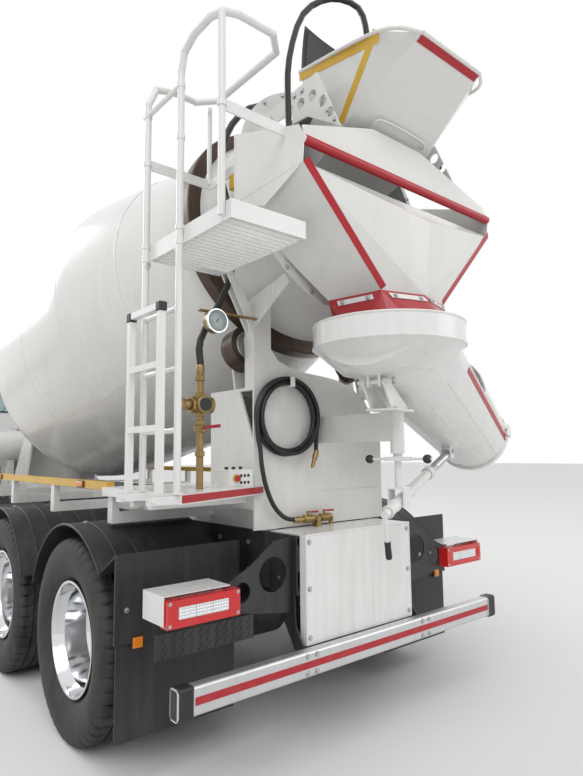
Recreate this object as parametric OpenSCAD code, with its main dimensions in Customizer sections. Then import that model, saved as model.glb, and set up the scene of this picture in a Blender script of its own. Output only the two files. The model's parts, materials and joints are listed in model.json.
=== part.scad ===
// Concrete mixer truck: four-axle rigid chassis with a tilted drum, rear loading hopper and swivel chute.
// Millimetres. +X points forward, +Y to the truck's left, +Z up, and z = 0 is the ground.

/* [Chassis] */
// Front face of the bumper ahead of the first axle
front_overhang = 1400; // [1380:10:1420]
// Distance between the two steered axles
steer_axle_gap = 1950; // [1930:10:1970]
// First axle to third axle
wheelbase = 4280; // [4260:10:4300]
// Distance between the two driven axles
bogie_gap = 1370; // [1350:10:1400]
// Rear face of the drum pedestal behind the last axle
body_setback = 705; // [700:5:715]
// Top of the frame rails above the ground
frame_top = 1080; // [1075:1:1085]
// Height of a frame rail
rail_h = 290; // [280:5:300]
// Outer face of a frame rail from the centre plane
rail_y = 435; // [430:1:440]
// Thickness of the rail's web and flanges
rail_t = 9; // [7:1:11]
// Width of a rail's flange
rail_flange = 85; // [75:5:95]
// Height of the mixer subframe on top of the rails
sub_h = 120; // [110:5:125]

/* [Wheels] */
// Radius of a tyre, which is also the height of the axles
tyre_r = 525; // [515:5:530]
// Width of one tyre
tyre_w = 312; // [300:2:320]
// Radius of the rim's flange
rim_r = 298; // [292:1:302]
// Width of a rim across its flanges
rim_w = 250; // [240:2:260]
// Tyre centre of a steered wheel from the centre plane
front_wheel_y = 1025; // [1015:5:1035]
// Outer tyre centre of a twin wheel from the centre plane
rear_wheel_y = 1088; // [1080:2:1096]
// Spacing between the two tyres of a twin wheel
twin_gap = 348; // [340:2:356]
// Kingpin axis of a steered wheel from the centre plane
kingpin_y = 890; // [880:2:900]
// Radius of a kingpin
kingpin_r = 24; // [20:1:28]
// Radius of a wheel spindle
spindle_r = 38; // [34:1:42]

/* [Drum] */
// Tilt of the drum's axis, rear end up
drum_tilt = 10.5; // [10:0.1:11]
// Largest radius of the drum
drum_r = 1065; // [1040:5:1080]
// Thickness of the drum's shell
drum_wall = 8; // [5:1:12]
// Length of the drum's rear cone from its mouth
rear_cone = 1950; // [1900:10:2000]
// Length of the drum's cylinder
drum_cyl = 1600; // [1550:10:1650]
// Length of the drum's front cone
front_cone = 1270; // [1230:10:1300]
// Radius of the drum's mouth
mouth_r = 520; // [500:5:540]
// Radius of the drum's front end plate
front_plate_r = 560; // [540:5:580]
// Outer radius of the roller track
track_r = 770; // [765:1:775]
// Width of the roller track
track_w = 90; // [80:2:100]
// Radius of a support roller
roller_r = 125; // [120:1:130]
// Width of a support roller
roller_w = 110; // [100:2:116]

/* [Cab] */
// Width of the cab
cab_w = 2400; // [2380:10:2430]
// Top of the cab's roof above the ground
cab_top = 2960; // [2920:10:3000]
// Underside of the cab floor above the ground
cab_floor = 1195; // [1190:5:1205]
// Length of the cab
cab_len = 2180; // [2160:10:2190]
// Thickness of the cab's walls and doors
cab_wall = 50; // [44:1:54]
// Gap around a door
door_gap = 7; // [6:0.5:9]
// Thickness of the window glass
glass_t = 6; // [4:1:8]

/* [Rear body] */
// Half width of the drum pedestal
ped_y = 510; // [500:2:516]
// Swivel post behind the pedestal's rear plate
post_reach = 565; // [560:1:575]
// Radius of the swivel post
post_r = 24; // [20:1:27]
// Direction of the chute, from straight ahead towards the left
chute_heading = -73.4; // [-76:0.2:-70]
// Fall of the chute at rest
chute_fall = 20.8; // [20:0.2:22]
// Inner radius of the chute's trough at its lower end
chute_r = 233; // [226:1:240]
// Length of the chute along its axis
chute_len = 1433; // [1420:1:1450]
// Height of the chute hinge pin
chute_pin_z = 1842; // [1838:1:1846]
// Chute hinge pin behind the swivel post
chute_pin_back = 250; // [245:1:255]
// Thickness of the steel plates of the hopper and chute
plate_t = 6; // [4:1:8]
// Height of the rear deck's plate
deck_z = 1325; // [1320:1:1330]
// Outer edge of the deck and ladder
deck_y = 1100; // [1095:1:1105]
// Diameter of the wash-down hose
hose_d = 25; // [23:1:27]

/* [Hidden] */
$fn = 48;

// Running gap between pieces that turn or seat on each other
fit = 0.3;

// Places of the axles, with the whole vehicle centred on x = 0
hopper_reach = 995;
total_len = front_overhang + wheelbase + bogie_gap + body_setback + hopper_reach;
front_x = total_len / 2;
axle1_x = front_x - front_overhang;
axle2_x = axle1_x - steer_axle_gap;
axle3_x = axle1_x - wheelbase;
axle4_x = axle3_x - bogie_gap;
ped_x = axle4_x - body_setback;
frame_bottom = frame_top - rail_h;
sub_top = frame_top + sub_h;
frame_front = front_x - 330;
frame_rear = ped_x - 250;

// The drum's axis passes through this point, just behind its mouth
axis_x = ped_x - 495;
axis_z = 3012;
mouth_s = 200;
cone_s = mouth_s + rear_cone;
cyl_s = cone_s + drum_cyl;
front_s = cyl_s + front_cone;
track_s = 827;
function axis_at(s) = [axis_x + s * cos(drum_tilt), 0, axis_z - s * sin(drum_tilt)];
gear_x = axis_at(front_s)[0];
gear_z = axis_at(front_s)[2];

// Support rollers under the track, each this far round from the lowest point
roller_angle = 30;
roller_dist = track_r + roller_r + fit;
roller_drop = roller_dist * cos(roller_angle);
roller_y = roller_dist * sin(roller_angle);
roller_at = [axis_at(track_s)[0] - roller_drop * sin(drum_tilt), roller_y,
    axis_at(track_s)[2] - roller_drop * cos(drum_tilt)];

// The chute's swivel post, hinge pin and directions
post_x = ped_x - post_reach;
post_top = 1706;
arm_low = 1555;

// Cab
cab_front = front_x - 60;
cab_rear = cab_front - cab_len;
hinge_x = cab_front - 300;

// The children and their mirror image on the other side of the truck
module pair() {
    children();
    mirror([0, 1, 0]) children();
}

// An outline drawn in XZ, made solid between two values of Y
module side_prism(y_low, y_high) {
    translate([0, y_high, 0]) rotate([90, 0, 0]) linear_extrude(height = y_high - y_low) children();
}

// An outline drawn in YZ, made solid from x over the given length
module cross_prism(x, len) {
    rotate([90, 0, 90]) translate([0, 0, x]) linear_extrude(height = len) children();
}

// A straight round bar between two points
module bar(a, b, r) {
    d = b - a;
    len = norm(d);
    translate(a)
        rotate([0, acos(d[2] / len), atan2(d[1], d[0])])
            cylinder(r = r, h = len, $fn = 24);
}

// A tube that bends through a list of points, with a round joint at each inner point
module bent_rail(points, r) {
    for (i = [0 : len(points) - 2]) bar(points[i], points[i + 1], r);
    for (i = [1 : len(points) - 2]) translate(points[i]) sphere(r = r + 1.5, $fn = 24);
}

// A flat plate through corner points, given anticlockwise as seen from its outer side
module sheet(corners, t) {
    n = len(corners);
    raw = cross(corners[1] - corners[0], corners[2] - corners[0]);
    normal = raw / norm(raw);
    // A negative thickness builds the plate outwards from the corners
    outer = [for (p = corners) p + normal * max(-t, 0)];
    inner = [for (p = corners) p - normal * max(t, 0)];
    polyhedron(
        points = concat(outer, inner),
        faces = concat(
            [[for (i = [n - 1 : -1 : 0]) i]],
            [[for (i = [0 : n - 1]) n + i]],
            [for (i = [0 : n - 1]) [i, (i + 1) % n, n + (i + 1) % n, n + i]]
        )
    );
}

// A rectangle given by its low corner and size
module square_at(x, y, w, h) {
    translate([x, y]) square([w, h]);
}

// A box given by its low and high corners
module block(low, high) {
    translate(low) cube(high - low);
}

// Smooth path through the points, each stretch cut into equal steps
function curve_point(p0, p1, p2, p3, t) =
    0.5 * ((2 * p1) + (p2 - p0) * t + (2 * p0 - 5 * p1 + 4 * p2 - p3) * t * t
    + (3 * p1 - p0 - 3 * p2 + p3) * t * t * t);
function smooth_path(p, steps) = concat(
    [for (i = [0 : len(p) - 2]) for (k = [0 : steps - 1])
        curve_point(p[max(i - 1, 0)], p[i], p[i + 1], p[min(i + 2, len(p) - 1)], k / steps)],
    [p[len(p) - 1]]);
function unit(v) = v / norm(v);
function tangent(p, i) = unit(p[min(i + 1, len(p) - 1)] - p[max(i - 1, 0)]);
// Each ring's side direction is the last one's, squared up to the new tangent
function side_dirs(p, i, last) = i >= len(p) ? [] :
    let (t = tangent(p, i), s = unit(last - t * (last * t)))
    concat([s], side_dirs(p, i + 1, s));

// A closed round tube swept along a path
module swept(path, r, sides, side) {
    dirs = side_dirs(path, 0, side);
    n = len(path);
    rings = [for (i = [0 : n - 1]) for (k = [0 : sides - 1])
        let (t = tangent(path, i), s = dirs[i], u = cross(t, s), a = 360 * k / sides)
        path[i] + r * (cos(a) * s + sin(a) * u)];
    polyhedron(
        points = rings,
        faces = concat(
            [[for (k = [0 : sides - 1]) k]],
            [[for (k = [sides - 1 : -1 : 0]) (n - 1) * sides + k]],
            [for (i = [0 : n - 2]) for (k = [0 : sides - 1])
                let (a = i * sides + k, b = i * sides + (k + 1) % sides)
                [a, a + sides, b + sides, b]]
        )
    );
}

// Places its children in the drum's frame: X along the axis towards the front
module on_drum(s) {
    translate(axis_at(s)) rotate([0, drum_tilt, 0]) children();
}

// Frame rails, crossmembers, rear lamp arms and the front towing jaw
tow_pin_r = 20;
tow_z = 640;
tow_x = front_x - 62;
lamp_arm_x = ped_x - 220;
module rail() {
    cross_prism(frame_rear, frame_front - frame_rear)
        polygon([
            [rail_y, frame_bottom], [rail_y, frame_top],
            [rail_y - rail_flange, frame_top], [rail_y - rail_flange, frame_top - rail_t],
            [rail_y - rail_t, frame_top - rail_t], [rail_y - rail_t, frame_bottom + rail_t],
            [rail_y - rail_flange, frame_bottom + rail_t], [rail_y - rail_flange, frame_bottom]
        ]);
}
module lamp_arm() {
    cross_prism(lamp_arm_x, 8)
        difference() {
            polygon([
                [rail_y - 2, 700], [620, 730], [800, 760], [1140, 760], [1140, 880],
                [860, 885], [700, 960], [560, 1060], [rail_y - 2, 1075]
            ]);
            translate([560, 905]) circle(r = 85);
            translate([745, 845]) circle(r = 48);
        }
}
module underrun_bracket() {
    side_prism(rail_y, rail_y + 8)
        polygon([
            [frame_rear + 30, frame_top], [frame_rear + 250, frame_top - 40],
            [frame_rear + 190, frame_bottom], [frame_rear - 60, 434], [frame_rear - 60, 554],
            [frame_rear, 640]
        ]);
}
module chassis_frame() {
    cross_x = [frame_rear + 40, axle4_x - 60, (axle3_x + axle4_x) / 2, axle3_x + 420,
        axle2_x - 400, axle2_x + 700, frame_front - 60];
    color("#24262a") {
        difference() {
            union() {
                pair() {
                    rail();
                    lamp_arm();
                    underrun_bracket();
                    for (x = [cab_front - 420, cab_rear + 120])
                        block([x, rail_y - 75, frame_top - 2], [x + 90, rail_y - 5, cab_floor]);
                }
                for (x = cross_x)
                    block([x - 40, -rail_y + 2, frame_bottom + 110], [x + 40, rail_y - 2, frame_top - 60]);
                block([frame_front - 200, -110, frame_bottom - 60], [frame_front, 110, frame_bottom + 115]);
                block([frame_front - 60, -60, tow_z - 60], [frame_front, 60, frame_bottom]);
                for (z = [tow_z - 60, tow_z + 24])
                    block([frame_front - 60, -60, z], [tow_x + 40, 60, z + 36]);
            }
            translate([tow_x, 0, tow_z - 100]) cylinder(r = tow_pin_r, h = 200);
        }
    }
}

// Rails on top of the chassis with outriggers that carry the side strips
sub_y = 420;
sub_front = gear_x + 560;
strip_y = 1050;
strip_low = deck_z - 20;
module mixer_subframe() {
    out_x = [ped_x + 560, ped_x + 1500, ped_x + 2440, ped_x + 3380, ped_x + 4320];
    color("#e9e9e4") {
        pair() {
            block([ped_x + 12, sub_y - 70, frame_top], [sub_front, sub_y, sub_top]);
            for (x = out_x) {
                block([x - 30, sub_y - 10, sub_top - 70], [x + 30, strip_y + 20, sub_top - 10]);
                block([x - 30, strip_y - 20, sub_top - 20], [x + 30, strip_y + 20, strip_low]);
            }
        }
        for (x = [ped_x + 700, ped_x + 4500])
            block([x - 50, -sub_y + 60, frame_top], [x + 50, sub_y - 60, frame_top + 60]);
    }
}

// Yellow edge strips along both sides
module side_strips() {
    color("#d9a800")
        pair()
            block([ped_x + 601, strip_y - 20, strip_low], [sub_front - 40, strip_y + 25, strip_low + 45]);
}

// The engine and gearbox as plain masses at their place under the cab
module engine_block() {
    color("#55585c") {
        block([axle1_x - 500, -310, frame_bottom - 60], [axle1_x + 640, 310, cab_floor - 60]);
        translate([axle1_x - 500, 0, frame_bottom + 60])
            rotate([0, -90, 0]) cylinder(r1 = 240, r2 = 150, h = 700);
        pair()
            for (x = [axle1_x - 300, axle1_x + 400])
                block([x, 300, frame_bottom + 120], [x + 90, rail_y - rail_t, frame_bottom + 200]);
    }
}

// Steered beams with kingpin bosses, driven axles, leaf springs and the propeller shafts
boss_h = 150;
boss_r = 52;
spring_y = 390;
module steered_beam(x) {
    translate([x, 0, 0])
        difference() {
            union() {
                block([-55, -spring_y - 90, tyre_r - 130], [55, spring_y + 90, tyre_r - 40]);
                pair() {
                    bar([0, spring_y + 40, tyre_r - 85], [0, kingpin_y, tyre_r], 48);
                    translate([0, kingpin_y, tyre_r - boss_h / 2]) cylinder(r = boss_r, h = boss_h);
                    block([-60, spring_y - 50, tyre_r - 70], [60, spring_y + 50, tyre_r + 30]);
                }
            }
            for (k = [-1, 1])
                translate([0, k * kingpin_y, tyre_r - boss_h])
                    cylinder(r = kingpin_r + fit, h = 2 * boss_h);
        }
}
module driven_axle(x) {
    translate([x, 0, tyre_r]) {
        pair() {
            rotate([-90, 0, 0]) cylinder(r = 80, h = twin_inner - 14);
            rotate([-90, 0, 0]) cylinder(r = spindle_r, h = disc_y + 20);
            block([-75, spring_y - 50, 40], [75, spring_y + 50, 120]);
        }
        turned(0)
            polygon([[0, -300], [100, -300], [215, -120], [215, 120], [100, 300], [0, 300]]);
        rotate([0, 90, 0]) cylinder(r = 92, h = 326);
    }
}
// Leaf spring as one stepped side profile, longest leaf lowest
leaf_t = 16;
leaf_steps = [1, 0.8, 0.6, 0.4];
module leaf_pack(x, half, low) {
    right = [for (i = [0 : 3]) for (k = [0, 1]) [half * leaf_steps[i], leaf_t * (i + k)]];
    left = [for (i = [3 : -1 : 0]) for (k = [1, 0]) [-half * leaf_steps[i], leaf_t * (i + k)]];
    for (k = [-1, 1])
        translate([x, k * spring_y + 38, low])
            rotate([90, 0, 0])
                linear_extrude(height = 76) polygon(concat(right, left));
}
module spring_hanger(x, low) {
    for (k = [-1, 1])
        translate([x, k * spring_y, 0])
            block([-45, -42, low], [45, 42, frame_bottom]);
}
module running_gear() {
    bogie_x = (axle3_x + axle4_x) / 2;
    color("#2c2e31") {
        for (x = [axle1_x, axle2_x]) {
            steered_beam(x);
            leaf_pack(x, 620, tyre_r + 30);
            for (k = [-1, 1]) spring_hanger(x + k * 600, tyre_r + 30 + leaf_t);
        }
        for (x = [axle3_x, axle4_x]) driven_axle(x);
        leaf_pack(bogie_x, bogie_gap / 2 + 60, tyre_r + 120);
        spring_hanger(bogie_x, tyre_r + 120 + 4 * leaf_t);
        bar([axle3_x + 325, 0, tyre_r], [axle2_x - 420, 0, frame_bottom + 15], 55);
        bar([axle4_x + 325, 0, tyre_r], [axle3_x - 200, 0, tyre_r], 50);
        bar([axle2_x - 421, 0, frame_bottom + 15], [axle1_x - 1203, 0, frame_bottom + 45], 52);
    }
}

// Wheels: tyres and rims turned about the axle
rim_depth = rim_w / 2;
disc_offset = twin_gap / 2;
disc_y = rear_wheel_y - twin_gap / 2;
twin_inner = rear_wheel_y - twin_gap - tyre_w / 2;
brake_r = 205;
module turned(y) {
    translate([0, y, 0]) rotate([-90, 0, 0]) rotate_extrude($fn = 72) children();
}
module tyre(y) {
    h = tyre_w / 2;
    turned(y)
        polygon([
            [rim_r - 8, -rim_depth + 14], [rim_r + 22, -rim_depth + 4], [rim_r + 60, -h + 12],
            [rim_r + 110, -h], [tyre_r - 70, -h + 4], [tyre_r - 18, -h + 16], [tyre_r - 5, -h + 30],
            [tyre_r, -h + 52],
            [tyre_r, -62], [tyre_r - 14, -60], [tyre_r - 14, -50], [tyre_r, -48],
            [tyre_r, -5], [tyre_r - 14, -4], [tyre_r - 14, 4], [tyre_r, 5],
            [tyre_r, 48], [tyre_r - 14, 50], [tyre_r - 14, 60], [tyre_r, 62],
            [tyre_r, h - 52], [tyre_r - 5, h - 30], [tyre_r - 18, h - 16], [tyre_r - 70, h - 4],
            [rim_r + 110, h], [rim_r + 60, h - 12], [rim_r + 22, rim_depth - 4],
            [rim_r - 8, rim_depth - 14]
        ]);
}
// The rim's barrel with its flanges, then the disc with its hub hole at the given offset
module rim(y, disc, face) {
    difference() {
        union() {
            turned(y)
                polygon([
                    [rim_r, -rim_depth], [rim_r, -rim_depth + 10], [rim_r - 8.3, -rim_depth + 13.7],
                    [rim_r - 8.3, rim_depth - 13.7], [rim_r, rim_depth - 10], [rim_r, rim_depth],
                    [rim_r - 14, rim_depth], [rim_r - 20, rim_depth - 14], [rim_r - 42, rim_depth - 60],
                    [rim_r - 42, -rim_depth + 60], [rim_r - 20, -rim_depth + 14], [rim_r - 14, -rim_depth]
                ]);
            turned(y + disc)
                polygon([
                    [109, 0], [165, 0], [rim_r - 66, face * 82], [rim_r - 41, face * 98],
                    [rim_r - 41, face * 118], [rim_r - 74, face * 96], [165, face * 14], [109, face * 14]
                ]);
        }
        for (a = [0 : 36 : 359])
            rotate([0, a + 18, 0])
                translate([rim_r - 88, y + disc - 100, 0])
                    rotate([-90, 0, 0]) cylinder(r = 23, h = 200, $fn = 24);
    }
}
module hub(low, high, flange) {
    difference() {
        union() {
            turned(low)
                polygon([[0, 0], [brake_r, 0], [brake_r, 160], [150, flange - low], [0, flange - low]]);
            turned(flange)
                polygon([
                    [0, 0], [109.5, 0], [109.5, 40], [95, 70], [70, high - flange], [0, high - flange]
                ]);
        }
        turned(low - 1) square([brake_r - 18, 140]);
        turned(low) square([spindle_r + fit, flange - low + 30]);
    }
}
module steered_wheel() {
    tyre(front_wheel_y);
    rim(front_wheel_y, disc_offset, -1);
    hub(front_wheel_y - 118, front_wheel_y + disc_offset + 55, front_wheel_y + disc_offset);
}
module twin_wheel() {
    tyre(rear_wheel_y);
    tyre(rear_wheel_y - twin_gap);
    rim(rear_wheel_y, -disc_offset, 1);
    rim(rear_wheel_y - twin_gap, disc_offset, -1);
    hub(twin_inner + 12, disc_y + 150, disc_y);
}
module left_wheel(number) {
    x = [axle1_x, axle2_x, axle3_x, axle4_x][number - 1];
    color("#2a2a2b")
        translate([x, 0, tyre_r])
            if (number < 3) steered_wheel(); else twin_wheel();
}
module wheel_1_left() { left_wheel(1); }
module wheel_2_left() { left_wheel(2); }
module wheel_3_left() { left_wheel(3); }
module wheel_4_left() { left_wheel(4); }
module wheel_1_right() { mirror([0, 1, 0]) left_wheel(1); }
module wheel_2_right() { mirror([0, 1, 0]) left_wheel(2); }
module wheel_3_right() { mirror([0, 1, 0]) left_wheel(3); }
module wheel_4_right() { mirror([0, 1, 0]) left_wheel(4); }

// Knuckle: two ears and the kingpin round the beam's boss, with the wheel spindle
module left_knuckle(x) {
    ear_gap = 0.4;
    color("#3a3c3f")
        translate([x, 0, tyre_r]) {
            translate([0, kingpin_y, -boss_h / 2 - 40]) cylinder(r = kingpin_r, h = boss_h + 80);
            for (z = [-boss_h / 2 - 40, boss_h / 2 + ear_gap])
                translate([0, kingpin_y, z]) cylinder(r = 50, h = 40 - ear_gap);
            for (z = [-boss_h / 2 - 40, boss_h / 2 + ear_gap])
                block([-45, kingpin_y, z], [45, kingpin_y + 82, z + 40 - ear_gap]);
            block([-60, kingpin_y + boss_r + 8, -boss_h / 2 - 40],
                [60, kingpin_y + boss_r + 34, boss_h / 2 + 40]);
            translate([0, kingpin_y + boss_r + 20, 0])
                rotate([-90, 0, 0])
                    cylinder(r = spindle_r, h = front_wheel_y + disc_offset - kingpin_y - boss_r);
        }
}
module knuckle_1_left() { left_knuckle(axle1_x); }
module knuckle_2_left() { left_knuckle(axle2_x); }
module knuckle_1_right() { mirror([0, 1, 0]) left_knuckle(axle1_x); }
module knuckle_2_right() { mirror([0, 1, 0]) left_knuckle(axle2_x); }

// Round-ended fuel tank on the right side between the axle groups
tank_x = axle2_x - 680;
tank_len = wheelbase - steer_axle_gap - 1430;
module rounded_section(w, h, r) {
    translate([r, r]) offset(r = r) square([w - 2 * r, h - 2 * r]);
}
module fuel_tank() {
    color("#c9ccd0") {
        translate([tank_x - tank_len, -rail_y - 40, 520])
            rotate([90, 0, 90])
                mirror([1, 0, 0])
                    linear_extrude(height = tank_len) rounded_section(620, 560, 80);
        translate([tank_x - 150, -rail_y - 380, 1070]) cylinder(r = 50, h = 50);
    }
    color("#c9ccd0")
        for (x = [tank_x - tank_len + 150, tank_x - 210])
            block([x, -rail_y - 40, 560], [x + 60, -rail_y, 1040]);
}

// Battery and air boxes on the left side, silencer box ahead of them
module equipment_boxes() {
    color("#3b3e42")
        for (row = [
            [tank_x - tank_len, tank_len / 2 - 30, 560, 540],
            [tank_x - tank_len / 2 + 20, tank_len / 2 - 20, 600, 520]
        ])
            translate([row[0], rail_y + 0, row[3]])
                difference() {
                    block([0, 0, 0], [row[1], row[2], 500]);
                    for (z = [60 : 60 : 420])
                        block([30, row[2] - 8, z], [row[1] - 30, row[2] + 1, z + 22]);
                }
}

// Water tank across the frame behind the cab
water_r = 215;
water_x = (sub_front + cab_rear) / 2;
water_z = 1600;
module water_tank() {
    half = 940;
    color("#e7e7e2") {
        translate([water_x, 0, water_z])
            rotate([-90, 0, 0])
                rotate_extrude($fn = 64)
                    polygon([
                        [0, -half - 50], [water_r - 60, -half - 38], [water_r - 8, -half],
                        [water_r, -half + 20], [water_r, half - 20], [water_r - 8, half],
                        [water_r - 60, half + 38], [0, half + 50]
                    ]);
        for (k = [-1, 1])
            translate([water_x, k * (rail_y - 45), 0])
                block([-150, -35, frame_top], [150, 35, water_z - 60]);
    }
}

// Pedestal and gearbox at the drum's front end
gearbox_seat = gear_z - 215;
module front_pedestal() {
    px = gear_x + 215;
    color("#e9e9e4") {
        pair()
            sheet([
                [px - 230, sub_y - 10, sub_top + 4], [px + 260, sub_y - 10, sub_top + 4],
                [px + 160, 300, gearbox_seat - 20], [px - 110, 300, gearbox_seat - 20]
            ], -20);
        pair()
            block([px - 240, sub_y - 68, sub_top], [px + 270, sub_y + 2, sub_top + 12]);
        block([px - 130, -330, gearbox_seat - 30], [px + 175, 330, gearbox_seat]);
        block([px + 40, -310, sub_top], [px + 60, 310, gearbox_seat - 20]);
    }
}
module drum_gearbox() {
    color("#8d9094") {
        on_drum(front_s + 20 + fit)
            rotate([0, 90, 0])
                rotate_extrude($fn = 64)
                    polygon([
                        [0, 0], [190, 0], [190, 26], [165, 40], [165, 210], [120, 240], [120, 300],
                        [78, 312], [78, 470], [0, 470]
                    ]);
        block([gear_x + 110, -150, gearbox_seat], [gear_x + 340, 150, gear_z - 80]);
    }
}

// The drum: a turned shell, open at its mouth, with the roller track
module mixer_drum() {
    w = drum_wall;
    slope = (drum_r - mouth_r) / rear_cone;
    track_shell = mouth_r + (track_s - mouth_s) * slope;
    color("#e8e4d6")
        on_drum(0)
            rotate([0, 90, 0]) {
                rotate_extrude($fn = 96)
                    polygon([
                        [mouth_r, mouth_s], [drum_r - 22, cone_s - 70], [drum_r, cone_s + 60],
                        [drum_r, cyl_s - 60], [drum_r - 30, cyl_s + 60], [front_plate_r, front_s - 40],
                        [front_plate_r - 60, front_s], [0, front_s + 20],
                        [0, front_s + 20 - w], [front_plate_r - 60, front_s - w],
                        [front_plate_r - w, front_s - 40 - w], [drum_r - 30 - w, cyl_s + 60],
                        [drum_r - w, cyl_s - 60], [drum_r - w, cone_s + 60],
                        [drum_r - 22 - w, cone_s - 70], [mouth_r - w, mouth_s]
                    ]);
                rotate_extrude($fn = 96)
                    polygon([
                        [track_shell - 26, track_s - track_w / 2], [track_r, track_s - track_w / 2],
                        [track_r, track_s + track_w / 2], [track_shell + 6, track_s + track_w / 2]
                    ]);
                rotate_extrude($fn = 96)
                    polygon([
                        [mouth_r - w, mouth_s - 8], [mouth_r + 26, mouth_s - 8],
                        [mouth_r + 26, mouth_s + 10], [mouth_r - w, mouth_s + 10]
                    ]);
            }
}

// Support rollers on fixed pins
roller_pin_r = 22;
module left_roller() {
    color("#6d7075")
        translate(roller_at)
            rotate([0, 90 + drum_tilt, 0])
                difference() {
                    cylinder(r = roller_r, h = roller_w, center = true, $fn = 64);
                    cylinder(r = roller_pin_r + fit, h = roller_w + 2, center = true);
                }
}
module roller_left() { left_roller(); }
module roller_right() { mirror([0, 1, 0]) left_roller(); }

// The wash-down hose's coil hangs round a hook on the pedestal's rear plate
coil_y = 299;
coil_z = 1698;
coil_r = 205;
coil_w = 56;
hook_z = coil_z + coil_r - coil_w / 2 - 1;
hook_reach = coil_w + 20;

// Rear pedestal: plated box with roller seats and the rear plate
shelf_z = 1860;
col_top = 2340;
module roller_seat() {
    translate(roller_at)
        rotate([0, drum_tilt, 0]) {
            for (k = [-1, 1])
                translate([k * (roller_w / 2 + 16), 0, 0])
                    block([-8, -70, shelf_z - roller_at[2] - 25], [8, 46, 40]);
            rotate([0, 90, 0]) cylinder(r = roller_pin_r, h = roller_w + 60, center = true);
        }
}
// Wing that reaches back from the column to the collector's ring
module ring_wing() {
    side_prism(ped_y - 12, ped_y)
        polygon([
            [ped_x + 6, shelf_z - 8], [ped_x + 84, shelf_z - 8], [ped_x + 84, col_top],
            [ped_x - 270, col_top + 88], [ped_x - 298, col_top + 40], [ped_x + 6, 2190]
        ]);
}
module rear_pedestal() {
    front = ped_x + 430;
    color("#e9e7df") {
        cross_prism(ped_x, 12)
            polygon([
                [ped_y, frame_top + 10], [ped_y, col_top], [ped_y - 120, col_top],
                [ped_y - 120, 2080], [340, 2020], [250, 1985], [130, 1965], [0, 1955],
                [-130, 1940], [-260, 1895], [-370, 1820], [-450, 1710], [-ped_y, 1557],
                [-ped_y, frame_top + 10]
            ]);
        block([ped_x - 8, -ped_y + 40, frame_top + 10], [ped_x + 1, ped_y - 40, 1276]);
        cross_prism(front - 12, 12)
            polygon([
                [ped_y, sub_top], [ped_y, shelf_z], [-ped_y, shelf_z], [-ped_y, sub_top]
            ]);
        block([ped_x + 6, -ped_y, shelf_z - 16], [front - 2, ped_y, shelf_z]);
        pair() {
            side_prism(ped_y - 12, ped_y)
                polygon([
                    [ped_x + 6, sub_top], [front - 2, sub_top], [front - 2, shelf_z - 2],
                    [ped_x + 140, shelf_z - 2], [ped_x + 6, 1557]
                ]);
            ring_wing();
            block([ped_x + 6, sub_y - 60, sub_top], [front - 2, ped_y - 6, sub_top + 12]);
            roller_seat();
        }
        block([ped_x + 72, ped_y - 120, shelf_z - 8], [ped_x + 84, ped_y - 4, col_top]);
        // The hose hook: a flat strip with an upturned end
        translate([ped_x, coil_y, hook_z]) {
            block([-hook_reach, -14, -8], [2, 14, 0]);
            block([-hook_reach - 8, -14, -8], [-hook_reach, 14, 46]);
            block([-6, -14, -4], [1, 14, 110]);
        }
    }
}

// Mudguards over every wheel behind the cab, with flaps behind them
guard_r = tyre_r + 70;
guard_t = 8;
module guard_ring(x, from, to) {
    translate([x, tyre_r])
        difference() {
            intersection() {
                circle(r = guard_r + guard_t, $fn = 96);
                polygon(concat([[0, 0]], [for (i = [0 : 8])
                    let (a = from + i * (to - from) / 8) 3 * guard_r * [cos(a), sin(a)]]));
            }
            circle(r = guard_r, $fn = 96);
        }
}
module mudguards() {
    back = axle4_x - guard_r;
    strip_way = [cos(138.05), sin(138.05)];
    color("#1d1f22")
        pair() {
            side_prism(830, 1230) guard_ring(axle2_x, 12, 168);
            side_prism(560, 1248) guard_ring(axle3_x, 40, 160);
            side_prism(560, 1248) guard_ring(axle4_x, 20, 138);
            side_prism(560, 1248)
                polygon([
                    [axle4_x, tyre_r] + (guard_r + guard_t) * strip_way,
                    [back - 44, 1044], [back - 44, 640], [back - 34, 640], [back - 34, 1030],
                    [axle4_x, tyre_r] + guard_r * strip_way
                ]);
            side_prism(590, 1235) square_at(back - 34 + fit, 210, 6.5, 600);
            for (x = [axle2_x, axle3_x, axle4_x])
                block([x - 25, sub_y, tyre_r + guard_r + 4], [x + 25, 900, tyre_r + guard_r + 40]);
        }
}

// Rear lamps on their arms
module tail_lamps() {
    color("#b3161c")
        pair()
            translate([lamp_arm_x - 62, 800, 770])
                difference() {
                    block([0, 0, 0], [62, 370, 115]);
                    block([-1, 60, 30], [4, 340, 85]);
                }
}

// White rear cover, lamp shields
module rear_panel() {
    px = frame_rear - 45;
    color("#ecece8") {
        block([px, -410, 550], [px + 5, 410, frame_top + 5]);
        block([px, -410, frame_top], [ped_x - 12, 410, frame_top + 5]);
        for (k = [-1, 1])
            block([px, k * 405 - 5, 550], [frame_rear, k * 405 + 5, frame_top + 5]);
        pair() {
            block([lamp_arm_x - 40, 840, 900], [lamp_arm_x + 150, 1134, 904]);
            block([lamp_arm_x - 40, 1174, 780], [lamp_arm_x + 150, 1178, 904]);
            block([lamp_arm_x - 40, 1130, 900], [lamp_arm_x + 150, 1178, 904]);
            block([lamp_arm_x + 8, 1090, 860], [lamp_arm_x + 12, 1134, 902]);
            block([lamp_arm_x + 8, 850, 860], [lamp_arm_x + 12, 890, 902]);
        }
    }
}

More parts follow.
